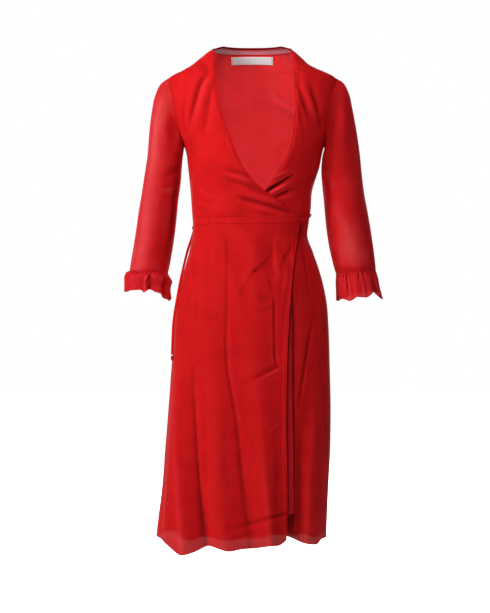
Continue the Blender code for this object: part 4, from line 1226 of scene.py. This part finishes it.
def skirt_grid(start, end, hem, columns, rows):
    """Angles and heights from the waist to a hem; start and end give an angle per row."""
    steps = np.linspace(0, 1, rows)
    levels = SKIRT_TOP + (HEM - SKIRT_TOP) * steps
    angles = between(start(levels), end(levels), columns)
    foot = column(hem, "x", body_point(angles[-1], HEM)[:, 0], "height")
    near_hem = smooth_step(0.75, 1, steps)
    return angles, levels[:, None] + (foot - HEM)[None, :] * near_hem[:, None]


def lapped(angle, height):
    """1 where the over lap has the under lap behind it, 0 where it hangs alone."""
    return smooth_step(-70, -30, body_point(angle, height)[..., 0])


def behind_lap(angle, height):
    """1 where the under lap has the over lap in front of it, 0 where it shows."""
    return 1 - smooth_step(60, 95, body_point(angle, height)[..., 0])


# Where a panel starts or ends on each row: at a side seam, or at a lap's free edge.
def right_side(rows):
    return -180 + seam_angle(rows)


def back_right_side(rows):
    return 180 - seam_angle(rows)


def left_side(rows):
    return -seam_angle(rows)


def over_edge(rows):
    return edge_angle(OVER_LAP_EDGE, rows)


def under_edge(rows):
    return edge_angle(UNDER_LAP_EDGE, rows)


def faceted(around, heights, folds, side=-1):
    """The rise of cloth that is nearly flat from one fold line to the next."""
    places = [around[:, :1] + 0 * around]
    proud = [0 * around]
    for fold in folds:
        route = named_rows("x height depth", *fold.route)
        x = column(route, "height", heights, "x")
        places.append(arc_length(angle_at(x, heights, side), heights))
        proud.append(column(route, "height", heights, "depth"))
    places.append(around[:, -1:] + 0 * around)
    proud.append(0 * around)
    steps = [np.maximum(after - before, 2) for before, after in zip(places, places[1:])]
    slopes = [(after - before) / step for before, after, step in zip(proud, proud[1:], steps)]
    total = slopes[0] * (around - places[0])
    for fold, place, before, after in zip(folds, places[1:], slopes, slopes[1:]):
        past = fold.rounding * np.logaddexp(0, (around - place) / fold.rounding)
        total += (after - before) * past
    return total


def skirt_ripples(angles, heights, around, seed):
    """The long faint unevenness of hanging georgette."""
    uneven = ripples(around, heights, seed, depth=0.3, size=34, stretch=5)
    return uneven * away_from_sides(angles, heights)


FREE_TROUGH = -3.4  # no trough sinks deeper, or the lining would show through
UNDER_LAPPED = -3.5  # where the under lap lies behind the over lap
SKIRT_ROWS = 240
# Each panel lies flat at the waist seam, and its folds set in over this length below it.
OVER_CALM, UNDER_CALM, BACK_CALM = 24, 60, 30
OVER_FOLD_SHADE = 0.7  # how dark the over lap's painted shade in hollows is, where the others' is 1


def over_skirt_rise(angles, heights):
    """The over lap's rise. Its lining follows it where the two lie on the under lap."""
    around = arc_length(angles, heights)
    rise = faceted(around, heights, OVER_SKIRT_FOLDS)
    rise += crease_rise(around, heights, laid(OVER_SKIRT_CREASES))
    rise += skirt_ripples(angles, heights, around, seed=21)
    calm = smooth_step(SKIRT_TOP - OVER_CALM, SKIRT_TOP, heights)
    return over_lift(angles, heights) + no_deeper(rise, FREE_TROUGH) * (1 - calm)


angles, heights = skirt_grid(right_side, over_edge, OVER_HEM, columns=184, rows=SKIRT_ROWS)
rise = over_skirt_rise(angles, heights)
over_skirt_points = on_form(angles, heights, rise)
skirt_front_right = cloth(
    "skirt_front_right_cloth",
    over_skirt_points,
    skirt_georgette,
    (rise - over_lift(angles, heights)) * OVER_FOLD_SHADE,
)

angles, heights = skirt_grid(under_edge, left_side, UNDER_HEM, columns=116, rows=SKIRT_ROWS)
around = arc_length(angles, heights)
across_front = body_point(angles, heights)[..., 0]
rise = faceted(around, heights, UNDER_SKIRT_FOLDS)
rise += crease_rise(around, heights, laid(UNDER_SKIRT_CREASES))
rise *= smooth_step(90, 104, across_front)
rise += skirt_ripples(angles, heights, around, seed=22)
sunk = smooth_step(SKIRT_TOP, SKIRT_TOP - UNDER_CALM, heights)
sunk *= behind_lap(angles, heights)
rise = no_deeper(rise, FREE_TROUGH) * (1 - sunk) + UNDER_LAPPED * sunk
under_skirt_points = on_form(angles, heights, rise)
# Deep shade that thin gaps can't give: beside the wrap edge, and below the waist corner.
GAP_TONE, GAP_WIDTH, GAP_FLARE = 1.7, 3.2, 1.5
CORNER_TONE, CORNER_X, CORNER_WIDTH = 0.9, 102, 11
lap_edge = column(OVER_LAP_EDGE, "height", heights, "x")
gap_edge = np.maximum(column(OVER_LINING_EDGE, "height", heights, "x") + 0.6, lap_edge + 2)
gap_width = GAP_WIDTH + GAP_FLARE * smooth_step(-935, -985, heights)
gap_shade = np.exp(-((np.maximum(across_front - gap_edge, 0) / gap_width) ** 2))
gap_shade *= GAP_TONE * smooth_step(-330, -360, heights)
gap_shade *= 1 - 0.5 * smooth_step(-965, -990, heights)
corner_shade = np.exp(-(((across_front - CORNER_X) / CORNER_WIDTH) ** 2))
corner_shade *= CORNER_TONE * smooth_step(-400, -345, heights)
skirt_front_left = cloth(
    "skirt_front_left_cloth",
    under_skirt_points,
    skirt_georgette,
    rise,
    tone=-np.maximum(gap_shade, corner_shade),
)

angles, heights = skirt_grid(seam_angle, back_right_side, BACK_HEM, columns=120, rows=SKIRT_ROWS)
around = arc_length(angles, heights)
rise = faceted(around, heights, BACK_SKIRT_FOLDS, 1)
rise += crease_rise(around, heights, laid(BACK_SKIRT_CREASES, 1))
rise += skirt_ripples(angles, heights, around, seed=23)
rise = no_deeper(rise, FREE_TROUGH) * smooth_step(SKIRT_TOP, SKIRT_TOP - BACK_CALM, heights)
back_skirt_points = on_form(angles, heights, rise)
skirt_back = cloth("skirt_back_cloth", back_skirt_points, skirt_georgette, rise)

skirt_edges = [
    over_skirt_points[-1],
    over_skirt_points[:, -1],
    under_skirt_points[-1],
    under_skirt_points[:, 0],
    back_skirt_points[-1],
]
skirt_rolled_hem = along_lines(
    "skirt_rolled_hem", skirt_edges, rolled_edge, {"Radius": 0.9, "Spacing": 4}, georgette
)
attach(skirt_rolled_hem, "root")
for piece, node, cut, area, above in (
    (skirt_front_right, "skirt_front_right", (0.38, 0.71), 0.232, "waistband_front_right"),
    (skirt_front_left, "skirt_front_left", (0.28, 0.69), 0.154, "waistband_front_left"),
    (skirt_back, "skirt_back", (0.52, 0.69), 0.321, "waistband_back"),
):
    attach(piece, "root")
    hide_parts(node)

# --- Skirt lining ---
# The same three shapes in a smooth, closely woven lining, cut shorter and a little narrower,
# and sewn in at the waist seam. It shows beside the wrap edge and through the sheer hem.
LINING_TOP_DEPTH = -1.6
OVER_LINING_DROP = 2.1
OVER_LINING_HEM = named_rows(
    "x height",
    (-208, -990), (-176, -993), (-156, -1010), (-133, -1018), (-109, -1008), (-88, -1009),
    (-66, -1014), (-20, -1010), (4, -1002), (22, -974), (72, -962), (90, -958),
)
UNDER_LINING_HEM = named_rows(
    "x height",
    (-8, -1004), (40, -1000), (79, -998), (96, -1007), (112, -1002), (127, -1009), (140, -1016),
    (165, -1008),
)
BACK_LINING_HEM = named_rows(
    "x height",
    (-208, -996), (0, -982), (165, -990),
)
LINING_ROWS = 110
# Closely woven lining: smoother and a little glossier than georgette, with hardly a crinkle.
lining_cloth = woven(
    "red_lining", "#D8262E", "#CC161E", "#4A0305", roughness=0.6, crinkle=0.12
)


def lining_lift(heights):
    """The lining hangs from the waist seam, then falls clear of the skirt's creases."""
    return LINING_TOP_DEPTH + (LINING_DEPTH - LINING_TOP_DEPTH) * smooth_step(-345, -400, heights)


def lining_edge(rows):
    """The over lining's free edge, a little in from its lap's."""
    return edge_angle(OVER_LINING_EDGE, rows)


angles, heights = skirt_grid(
    right_side, lining_edge, OVER_LINING_HEM, columns=112, rows=LINING_ROWS
)
deep = lining_lift(heights)
shallow = over_skirt_rise(angles, heights) - OVER_LINING_DROP
rise = deep + (shallow - deep) * lapped(angles, heights)
over_lining_points = on_form(angles, heights, rise)
WRAP_TONE, WRAP_WIDTH = 1.6, 3.6  # the shade that the wrap edge throws on the lining
past_wrap_edge = over_lining_points[..., 0] - column(OVER_LAP_EDGE, "height", heights, "x")
wrap_shade = WRAP_TONE * np.exp(-((np.maximum(past_wrap_edge - 1, 0) / WRAP_WIDTH) ** 2))
lining_front_right = cloth(
    "skirt_lining_front_right_cloth", over_lining_points, lining_cloth, tone=-wrap_shade
)
angles, heights = skirt_grid(under_edge, left_side, UNDER_LINING_HEM, columns=54, rows=LINING_ROWS)
rise = lining_lift(heights)
lining_front_left = cloth(
    "skirt_lining_front_left_cloth", on_form(angles, heights, rise), lining_cloth
)
angles, heights = skirt_grid(
    seam_angle, back_right_side, BACK_LINING_HEM, columns=86, rows=LINING_ROWS
)
rise = lining_lift(heights)
lining_back = cloth("skirt_lining_back_cloth", on_form(angles, heights, rise), lining_cloth)
for piece, node, cut, area, above in (
    (lining_front_right, "skirt_lining_front_right", (0.38, 0.67), 0.210, "waistband_front_right"),
    (lining_front_left, "skirt_lining_front_left", (0.28, 0.66), 0.143, "waistband_front_left"),
    (lining_back, "skirt_lining_back", (0.52, 0.66), 0.293, "waistband_back"),
):
    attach(piece, "root")
    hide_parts(node)

# --- Shoulder, side and neck seams ---
# Every seam is closed on the inside by its own allowances, rolled together and overcast. They
# fill the slit between two panels, so it reads as a seam and no light comes through it.
SEAM_STEP = 6


def seam_route(angle, top, foot):
    """A seam down the side of the form, just inside the cloth."""
    steps = math.ceil(abs(top - foot) / SEAM_STEP) + 1
    return on_form(angle, np.linspace(top, foot, steps), -SEAM_DEPTH)


body_seams = []
for angle in (0, 180):
    body_seams.append(seam_route(angle, NECK_SEAM, SHOULDER_POINT))
    body_seams.append(seam_route(angle, UNDERARM, WAIST_SEAM))
    body_seams.append(seam_route(angle, SKIRT_TOP, HEM + 3))
for seam_height in (NECK_SEAM, edge_top - roll - SEAM_GAP / 2):
    body_seams.append(on_form(behind_angles, seam_height, -SEAM_DEPTH))
body_allowances = along_lines(
    "body_seam_allowances", body_seams, rolled_edge, {"Radius": 0.9, "Spacing": 4}, georgette
)
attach(body_allowances, "root")

# --- Sleeves ---
# Long set-in sleeves of one georgette layer, so the light behind them comes through. The tube
# widens from the armhole to the wrist and hangs nearly smooth, with a few long soft creases.
RIGHT_SLEEVE = named_rows(
    "inner_x inner_height outer_x outer_height forward backward",
    (-146, -166, -179, -12, 38, 34), (-147.5, -168, -197.5, -25, 44, 42),
    (-148, -171, -211, -51, 49, 48), (-148.5, -176, -218.5, -89, 54, 52),
    (-150, -187, -223.5, -134, 56, 53), (-152, -212, -227, -178, 56, 52),
    (-154.5, -245, -233.5, -222, 56, 50), (-159.5, -281, -240, -266, 56, 47),
    (-163.5, -318, -247, -310, 55, 44), (-168.5, -358, -253, -354, 54, 40),
    (-174, -396, -259.5, -392, 53, 36), (-179, -425, -264.5, -420, 52, 33),
    (-182.5, -442, -267, -437, 51, 31),
)
LEFT_SLEEVE = named_rows(
    "inner_x inner_height outer_x outer_height forward backward",
    (160, -166, 184, -12, 38, 34), (161.6, -168, 203, -24, 44, 42), (161, -172, 215, -46, 49, 48),
    (159, -179, 223, -80, 54, 52), (156.3, -193, 231, -126, 56, 53),
    (154.6, -217, 238, -176, 56, 52), (156.4, -246, 243, -222, 56, 50),
    (160.2, -283, 249, -268, 56, 47), (163.6, -320, 257, -312, 55, 44),
    (168, -360, 264, -354, 54, 40), (174.6, -398, 270, -394, 53, 36),
    (182, -428, 273, -422, 52, 33), (187, -444, 274.5, -437, 51, 31),
)
# Each point of a sleeve's crease gives a turn, a height and a depth. A turn goes round the
# sleeve in degrees: 0 on the side away from the body, -90 in front.
RIGHT_SLEEVE_CREASES = (
    Crease(6, 9, ((-140, -210, 0), (-146, -290, -2.5), (-152, -360, -2), (-158, -430, 0))),
    Crease(8, 8, ((-70, -60, 0), (-80, -120, 1.2), (-96, -180, 0))),
    Crease(6, 9, ((-160, -205, 0), (-120, -222, -1.8), (-86, -246, 0))),
    Crease(8, 6, ((-158, -250, 0), (-120, -262, 1.4), (-84, -262, 0))),
    Crease(9, 9, ((60, -120, 0), (78, -230, -2), (70, -360, 0))),
    Crease(8, 12, ((130, -190, 0), (108, -250, -1.8), (74, -292, 0))),
    Crease(10, 8, ((132, -270, 0), (120, -350, 2), (112, -430, 0))),
)
LEFT_SLEEVE_CREASES = (
    Crease(9, 6, ((-138, -200, 0), (-146, -290, -1.5), (-154, -360, -1.5), (-160, -430, 0))),
    Crease(8, 8, ((-66, -60, 0), (-76, -120, 1.2), (-92, -180, 0))),
    Crease(9, 8, ((-158, -208, 0), (-122, -226, -0.7), (-88, -252, 0))),
    Crease(8, 10, ((-120, -300, 0), (-100, -340, 0.7), (-96, -400, 0))),
    Crease(9, 9, ((64, -130, 0), (80, -240, -2), (72, -350, 0))),
    Crease(12, 8, ((128, -196, 0), (104, -258, -1.8), (78, -300, 0))),
    Crease(8, 10, ((134, -280, 0), (118, -350, 2), (114, -430, 0))),
)
SLEEVE_SIDES = 92
SLEEVE_ROWS = 118
SLEEVE_RADIUS = 42  # turns a turn into a length round the sleeve, to lay creases by
ARMHOLE_CALM, CUFF_CALM = 22, 14  # creases fade out over these lengths at the two seams
# Its pale colour is the painted light that comes through a sleeve.
sleeve_georgette = woven(
    "sheer_sleeve_georgette", "#F65256", "#DC181E", "#8E080C", opacity=0.84, slub=0.35, glow=0.8
)
# Painted light and shade on the sleeves: paler where the light comes through them (above 0), and
# darker where less comes through, as where a second layer lies behind (below 0).
RIGHT_SLEEVE_PAINTED_LIGHT = (
    Crease(22, 26, ((-48, -30, 0.3), (-50, -100, 0.7), (-52, -260, 0.5), (-56, -430, 0.6))),
    Crease(14, 14, ((-140, -190, -0.5), (-146, -300, -0.5), (-150, -420, -0.3))),
)
LEFT_SLEEVE_PAINTED_LIGHT = (
    Crease(26, 22, ((-80, -40, -0.5), (-90, -180, -0.3), (-90, -260, 0))),
    Crease(20, 20, ((-102, -290, 0), (-98, -340, 0.3), (-96, -385, 0.6), (-95, -420, 0.5))),
    Crease(5, 7, ((-175, -438, -0.35), (-90, -435, -0.4), (-5, -432, -0.35))),
)


def sleeve_rings(table, side):
    """Rings from the armhole to the cuff. Side is -1 for the wearer's right and 1 for the left."""
    turns = 2 * np.pi * np.arange(SLEEVE_SIDES) / SLEEVE_SIDES
    rings = []
    for ring in table:
        inner = np.array([ring.inner_x, 0, ring.inner_height])
        outer = np.array([ring.outer_x, 0, ring.outer_height])
        reach = np.where(np.sin(turns) < 0, ring.forward, ring.backward)
        points = (inner + outer) / 2 + (outer - inner) / 2 * np.cos(turns)[:, None]
        points[:, 1] += reach * np.sin(turns)
        rings.append(points)
    loop_height = rings[0][:, 2]
    forward = np.sin(turns) < 0
    inset = np.where(
        forward, armhole_angle(loop_height, "front"), armhole_angle(loop_height, "back")
    )
    facing = np.where(forward, -1, 1)
    angle = facing * inset if side > 0 else facing * (180 - inset)
    rings[0] = body_point(angle, loop_height)
    rings[0][:, 0] += side * SEAM_GAP * 1.5
    return np.array(rings)


def outward(points):
    """Unit vectors out of a tube whose rings are the rows of a grid."""
    around = np.roll(points, -1, axis=1) - np.roll(points, 1, axis=1)
    down = np.gradient(points, axis=0)
    normals = unit(np.cross(around, down))
    middle = points.mean(axis=1, keepdims=True)
    return normals * np.sign((normals * (points - middle)).sum())


def around_sleeve(creases):
    """Creases given by turn, laid by their length round the sleeve."""
    scale = (math.radians(1) * SLEEVE_RADIUS, 1, 1)
    return [crease._replace(route=np.array(crease.route) * scale) for crease in creases]


def sleeve_tube(table, side, creases, painted_light, seed):
    """The sleeve's points, rise and painted light, smooth between its rings and then creased."""
    rings = sleeve_rings(table, side)
    at = along(rings).mean(axis=1)
    points = read_smooth(at, rings, np.linspace(0, at[-1], SLEEVE_ROWS))
    turns = np.degrees(2 * np.pi * np.arange(SLEEVE_SIDES) / SLEEVE_SIDES)
    turns = np.where(turns > 180, turns - 360, turns)
    around = np.radians(turns)[None, :] * SLEEVE_RADIUS * np.ones((SLEEVE_ROWS, 1))
    down = points[..., 2]
    rise = crease_rise(around, down, around_sleeve(creases))
    painted_glow = crease_rise(around, down, around_sleeve(painted_light))
    spread = np.sin(around * side / SLEEVE_RADIUS) * 60
    rise += ripples(spread, down, seed, depth=0.35, size=40, stretch=3)
    from_armhole = at[-1] * np.linspace(0, 1, SLEEVE_ROWS)
    ends = smooth_step(0, ARMHOLE_CALM, from_armhole)
    ends *= smooth_step(0, CUFF_CALM, at[-1] - from_armhole)
    rise *= ends[:, None]
    return points + outward(points) * rise[..., None], rise, painted_glow


for side, name, table, creases, painted_light in (
    (-1, "right", RIGHT_SLEEVE, RIGHT_SLEEVE_CREASES, RIGHT_SLEEVE_PAINTED_LIGHT),
    (1, "left", LEFT_SLEEVE, LEFT_SLEEVE_CREASES, LEFT_SLEEVE_PAINTED_LIGHT),
):
    points, rise, painted_glow = sleeve_tube(table, side, creases, painted_light, 30 + side)
    sleeve = cloth(f"sleeve_{name}_cloth", points, sleeve_georgette, rise, closed=True, tone=painted_glow)
    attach(sleeve, "root")
    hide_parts(f"sleeve_{name}")
    armhole_seam = points[0] - np.array([side, 0, 0])
    cuff_seam = points[-1] - outward(points)[-1] * SEAM_DEPTH
    cuff_seam[:, 2] -= SEAM_GAP / 2
    allowance = along_lines(
        f"sleeve_seam_allowances_{name}",
        [np.concatenate([seam, seam[:1]]) for seam in (armhole_seam, cuff_seam)],
        rolled_edge,
        {"Radius": 1.0, "Spacing": 3},
        georgette,
    )
    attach(allowance, "root")

# --- Cuff ruffles ---
# A strip of georgette, gathered into the wrist seam, so it breaks into uneven waves, with fine
# gathers close under the seam. Its lower edge is a narrow rolled hem.
RIGHT_RUFFLE = named_rows(
    "share away near",
    (0, 0, 0), (0.03, 4, 0.8), (0.08, 7.5, 2), (0.2, 9, 5.5), (0.33, 9, 7.5), (0.6, 7.5, 4.5),
    (1, 5.5, 7),
)
LEFT_RUFFLE = named_rows(
    "share away near",
    (0, 0, 0), (0.08, 1.5, 0.8), (0.2, 3, 1.2), (0.55, 5, 1.5), (1, 9, 2),
)
# How far the hem lies below the seam at each turn round the wrist.
RIGHT_DROP = named_rows(
    "turn length",
    (-165, 52), (-150, 50), (-135, 48.5), (-125, 45.4), (-112, 42.4), (-98, 37), (-91, 41),
    (-85, 45.2), (-77, 41), (-60, 41.5), (-34, 42.9), (-15, 45), (0, 46), (30, 43), (60, 40),
    (95, 38), (118, 42), (136, 54), (150, 58), (180, 58.5), (195, 52),
)
LEFT_DROP = named_rows(
    "turn length",
    (-165, 53.5), (-140, 55), (-126, 58.8), (-115, 61), (-107, 58.6), (-98, 54), (-83, 55),
    (-69, 55.5), (-61, 51), (-53, 46.2), (-46, 46.5), (-38, 52), (-29, 60), (-15, 62), (0, 62.5),
    (14, 58), (28, 48), (42, 44), (65, 45), (90, 48), (120, 51), (145, 57), (170, 58.5),
    (195, 53.5),
)
# Each flute of the ruffle: where it is, and how far it stands out partway down and at the hem.
RIGHT_FLUTES = named_rows(
    "turn middle hem",
    (-178, 1, 1), (-167, 4, 4.5), (-152, -5.5, -6), (-140, -4, -4), (-127, 3, 3.5), (-112, 0.5, 0),
    (-97, -3, -4), (-88, 3, 3), (-81, -1.6, -1.6), (-60, 3, 3), (-30, 0.5, 1), (-8, 2, 3),
    (18, -2, -2.5), (38, 2, 3), (58, -2.5, -3), (80, 3, 3.5), (98, -3, -4), (118, 2, 3),
    (136, -2, -3), (156, 3, 4), (170, -2, -2),
)
LEFT_FLUTES = named_rows(
    "turn middle hem",
    (-172, 2.5, 3.5), (-158, -1, -1.5), (-146, 2, 2.5), (-125, -3.5, -4), (-116, 2, 2.5),
    (-107, -1, -1), (-98, 1.5, 2), (-91, 0, 0), (-83, -1.6, -1.8), (-77, 1.2, 1.6), (-70, -1, -1),
    (-60, 2, 2.4), (-52, 0.5, 0), (-42, -4, -5.5), (-24, 3, 4), (-6, 0, 1), (12, -2.5, -3),
    (30, 2.5, 3), (48, -2, -3), (66, 2, 3), (84, -3, -3.5), (104, 2.5, 3), (122, -2, -2.5),
    (140, 2.5, 3), (158, -2, -2),
)
# The sharp pinches among the flutes, by turn and by height from the seam.
RIGHT_PINCHES = (
    Crease(2, 1.8, ((-101, 0, -1.5), (-96, -12, -2.4), (-90, -25, -2.2), (-87, -31, 0))),
    Crease(1.6, 1.6, ((-88, 0, -2), (-88, -6, -2.5), (-88, -11, 0))),
    Crease(1.8, 2.2, ((-95, 0, 1.2), (-88, -16, 2), (-85, -30, 1.6), (-86, -42, 0))),
    Crease(1.6, 1.6, ((-97, -26, 0), (-98, -32, -1.6), (-98, -40, -1.4))),
    Crease(2, 2.5, ((-118, 0, 0), (-112, -10, 1.2), (-103, -22, 0))),
    Crease(2, 2, ((-61, 0, -1), (-59, -16, -1.6), (-62, -34, 0))),
)
LEFT_PINCHES = (
    Crease(1.8, 1.8, ((-124, -3, -1.5), (-124, -18, -4), (-122, -46, -3.5), (-122, -56, 0))),
    Crease(1.4, 1.4, ((-134, 0, -1.5), (-134, -10, -2), (-133, -18, 0))),
    Crease(1.4, 1.4, ((-113, 0, -1.2), (-112, -14, -1.6), (-112, -24, 0))),
    Crease(1.4, 1.4, ((-88, 0, -1.2), (-88, -12, -1.6), (-88, -22, 0))),
    Crease(1.4, 1.4, ((-76, 0, -1), (-75, -14, -1.4), (-74, -26, 0))),
    Crease(2.2, 2.2, ((-46, -6, -1.5), (-40, -20, -3.5), (-33, -44, -3), (-30, -52, 0))),
)
FLUTE_ROUNDING = 3  # degrees
FLUTE_MIDDLE = 0.4  # how far down the ruffle the flutes' first measure is taken
GATHERS = 52
GATHER_JITTER = 0.35  # of the space between two
GATHER_DEPTH = (0.8, 2.2)
GATHER_WIDTH = (1.6, 3.4)  # degrees
GATHER_START = 0.04  # of the way down, where the gathers leave the seam
RUFFLE_SIDES = 340
RUFFLE_ROWS = 32
ROW_CROWDING = 1.25  # above 1, rows lie closer near the seam, where the gathers are finest
LAST_TURN = 195  # the tables of drops go once round the wrist, up to this many degrees
ruffle_georgette = woven(
    "sheer_ruffle_georgette", "#F2383E", "#E01E26", "#7E060A", opacity=0.86
)


def fluted(flutes, key, degrees):
    """Straight from one flute to the next round the wrist, with every turn rounded off."""
    turns = [flute.turn for flute in flutes]
    stands = [getattr(flute, key) for flute in flutes]
    reach = np.arange(-2 * FLUTE_ROUNDING, 2 * FLUTE_ROUNDING + 1)
    weights = np.exp(-((reach / FLUTE_ROUNDING) ** 2))
    rounded = sum(
        weight * np.interp(degrees + off, turns, stands, period=360)
        for off, weight in zip(reach, weights)
    )
    return rounded / weights.sum()


def gathered(degrees, shares, seed, reach):
    """Small uneven tucks that start in the seam and run out a little way below it."""
    draw = np.random.default_rng(seed)
    tucks = np.zeros((len(shares), len(degrees)))
    for number in range(GATHERS):
        turn = 360 * (number + draw.uniform(-GATHER_JITTER, GATHER_JITTER)) / GATHERS - 180
        off = (degrees - turn + 180) % 360 - 180
        tuck = draw.uniform(*GATHER_DEPTH) * np.exp(-((off / draw.uniform(*GATHER_WIDTH)) ** 2))
        length = reach * draw.uniform(0.5, 1.5)
        tucks -= tuck[None, :] * (1 - smooth_step(0, length, shares))[:, None]
    return tucks


Ruffle = namedtuple("Ruffle", "flares flutes depth pinches drops tuck_reach cut seed")
RUFFLES = {
    "right": Ruffle(
        RIGHT_RUFFLE, RIGHT_FLUTES, 1.4, RIGHT_PINCHES, RIGHT_DROP, 0.34, (0.38, 0.053), 39
    ),
    "left": Ruffle(
        LEFT_RUFFLE, LEFT_FLUTES, 0.9, LEFT_PINCHES, LEFT_DROP, 0.4, (0.35, 0.062), 41
    ),
}


def ruffle_grid(wrist, ruffle):
    """The gathered ruffle's points and relief, from the wrist seam to its hem."""
    turns = 2 * np.pi * np.arange(RUFFLE_SIDES) / RUFFLE_SIDES
    degrees = np.degrees(turns)
    degrees = np.where(degrees > LAST_TURN, degrees - 360, degrees)
    inner = np.array([wrist.inner_x, 0, wrist.inner_height])
    outer = np.array([wrist.outer_x, 0, wrist.outer_height])
    half = np.linalg.norm(outer - inner) / 2
    across = unit(outer - inner)
    down = np.cross(across, [0, 1, 0])
    if down[2] > 0:
        down = -down
    reach = np.where(np.sin(turns) < 0, wrist.forward, wrist.backward)
    facing_away = (1 + np.cos(turns)) / 2
    length = column(ruffle.drops, "turn", degrees, "length")
    shares = np.linspace(0, 1, RUFFLE_ROWS) ** ROW_CROWDING
    tucks = gathered(degrees, shares, ruffle.seed, ruffle.tuck_reach)
    middle = ruffle.depth * fluted(ruffle.flutes, "middle", degrees)
    foot = ruffle.depth * fluted(ruffle.flutes, "hem", degrees)
    around = np.radians(degrees) * SLEEVE_RADIUS * np.ones((RUFFLE_ROWS, 1))
    pinched = crease_rise(around, -shares[:, None] * length, around_sleeve(ruffle.pinches))
    rings = []
    relief = []
    for share, tuck, pinch in zip(shares, tucks, pinched):
        away, near = (column(ruffle.flares, "share", share, key) for key in ("away", "near"))
        stand = middle * smooth_step(0, FLUTE_MIDDLE, share)
        stand += (foot - middle) * smooth_step(FLUTE_MIDDLE, 1, share)
        stand += (tuck + pinch) * smooth_step(0, GATHER_START, share)
        out = near + (away - near) * facing_away + stand
        points = (inner + outer) / 2 + across * ((half + out) * np.cos(turns))[:, None]
        points[:, 1] += (reach + out) * np.sin(turns)
        points += down * (SEAM_GAP + share * length)[:, None]
        rings.append(points)
        relief.append(stand)
    return np.array(rings), np.array(relief)


for name, wrist in (("right", RIGHT_SLEEVE[-1]), ("left", LEFT_SLEEVE[-1])):
    points, relief = ruffle_grid(wrist, RUFFLES[name])
    ruffle = cloth(f"cuff_ruffle_{name}_cloth", points, ruffle_georgette, relief, closed=True)
    hem = along_lines(
        f"cuff_rolled_hem_{name}",
        [np.concatenate([points[-1], points[-1][:1]])],
        rolled_edge,
        {"Radius": 0.8, "Spacing": 1.6},
        georgette,
    )
    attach(ruffle, "root")
    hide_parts(f"cuff_ruffle_{name}")
    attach(hem, "root")

# --- Floor and lights ---
# A plain white studio: a wide pale floor below the hem, a large soft light at the dress's right
# front, a weaker one straight in front, two behind, and a faint even surround.
FLOOR_HEIGHT = -1250
FLOOR_RADIUS = 12000
FLOOR_SIDES = 64
turns = 2 * np.pi * np.arange(FLOOR_SIDES) / FLOOR_SIDES
rim = np.stack([np.cos(turns), np.sin(turns), 0 * turns], axis=1) * FLOOR_RADIUS
rim[:, 2] = FLOOR_HEIGHT
# White studio paper, matt, and lit so evenly that it reads as plain white.
paper_finish = {"Base Color": linear("#FAFAFA"), "Roughness": 0.9}
paper_finish |= {"Emission Color": linear("#FFFFFF")}
paper, tree, shader = new_material("white_paper", paper_finish)
seen = add_node(tree, "ShaderNodeLightPath").outputs["Is Camera Ray"]
tree.links.new(seen, shader.inputs["Emission Strength"])
floor_data = bpy.data.meshes.new("floor")
floor_data.from_pydata((rim * MM).tolist(), [], [list(range(FLOOR_SIDES))])
floor_data.materials.append(paper)
floor = add_object("floor", floor_data)

AMBIENT = 0.08  # the surround's strength on the dress, while it shows as plain white
world = bpy.data.worlds.new("studio")
bpy.context.scene.world = world
world.use_nodes = True
tree = world.node_tree
path = add_node(tree, "ShaderNodeLightPath").outputs["Is Camera Ray"]
level = {0: path, 1: 1 - AMBIENT, 2: AMBIENT}
level = add_node(tree, "ShaderNodeMath", level, operation="MULTIPLY_ADD").outputs[0]
tree.nodes["Background"].inputs["Color"].default_value = (1, 1, 1, 1)
tree.links.new(level, tree.nodes["Background"].inputs["Strength"])

# Places, heights and sizes in metres, strength in watts, spread in degrees.
LIGHTS = named_rows(
    "name place aim_height width height watts spread",
    ("key", (-3.4, -2.2, 1.5), -0.5, 1.2, 2.0, 116, 180),
    ("front", (-0.3, -2.6, 1.9), 0.1, 1.0, 1.2, 4.7, 50),
    ("rear_left", (1.3, 4.0, 0.8), -0.4, 1.8, 2.2, 84, 180),
    ("rear_right", (-1.5, 3.9, 0.4), -0.4, 1.8, 2.2, 84, 180),
)
for light in LIGHTS:
    lamp = bpy.data.lights.new(light.name, "AREA")
    lamp.shape = "RECTANGLE"
    lamp.size = light.width
    lamp.size_y = light.height
    lamp.energy = light.watts
    lamp.spread = math.radians(light.spread)
    thing = add_object(light.name, lamp)
    thing.location = light.place
    aim = Vector((0, 0, light.aim_height)) - Vector(light.place)
    thing.rotation_euler = aim.to_track_quat("-Z", "Y").to_euler()
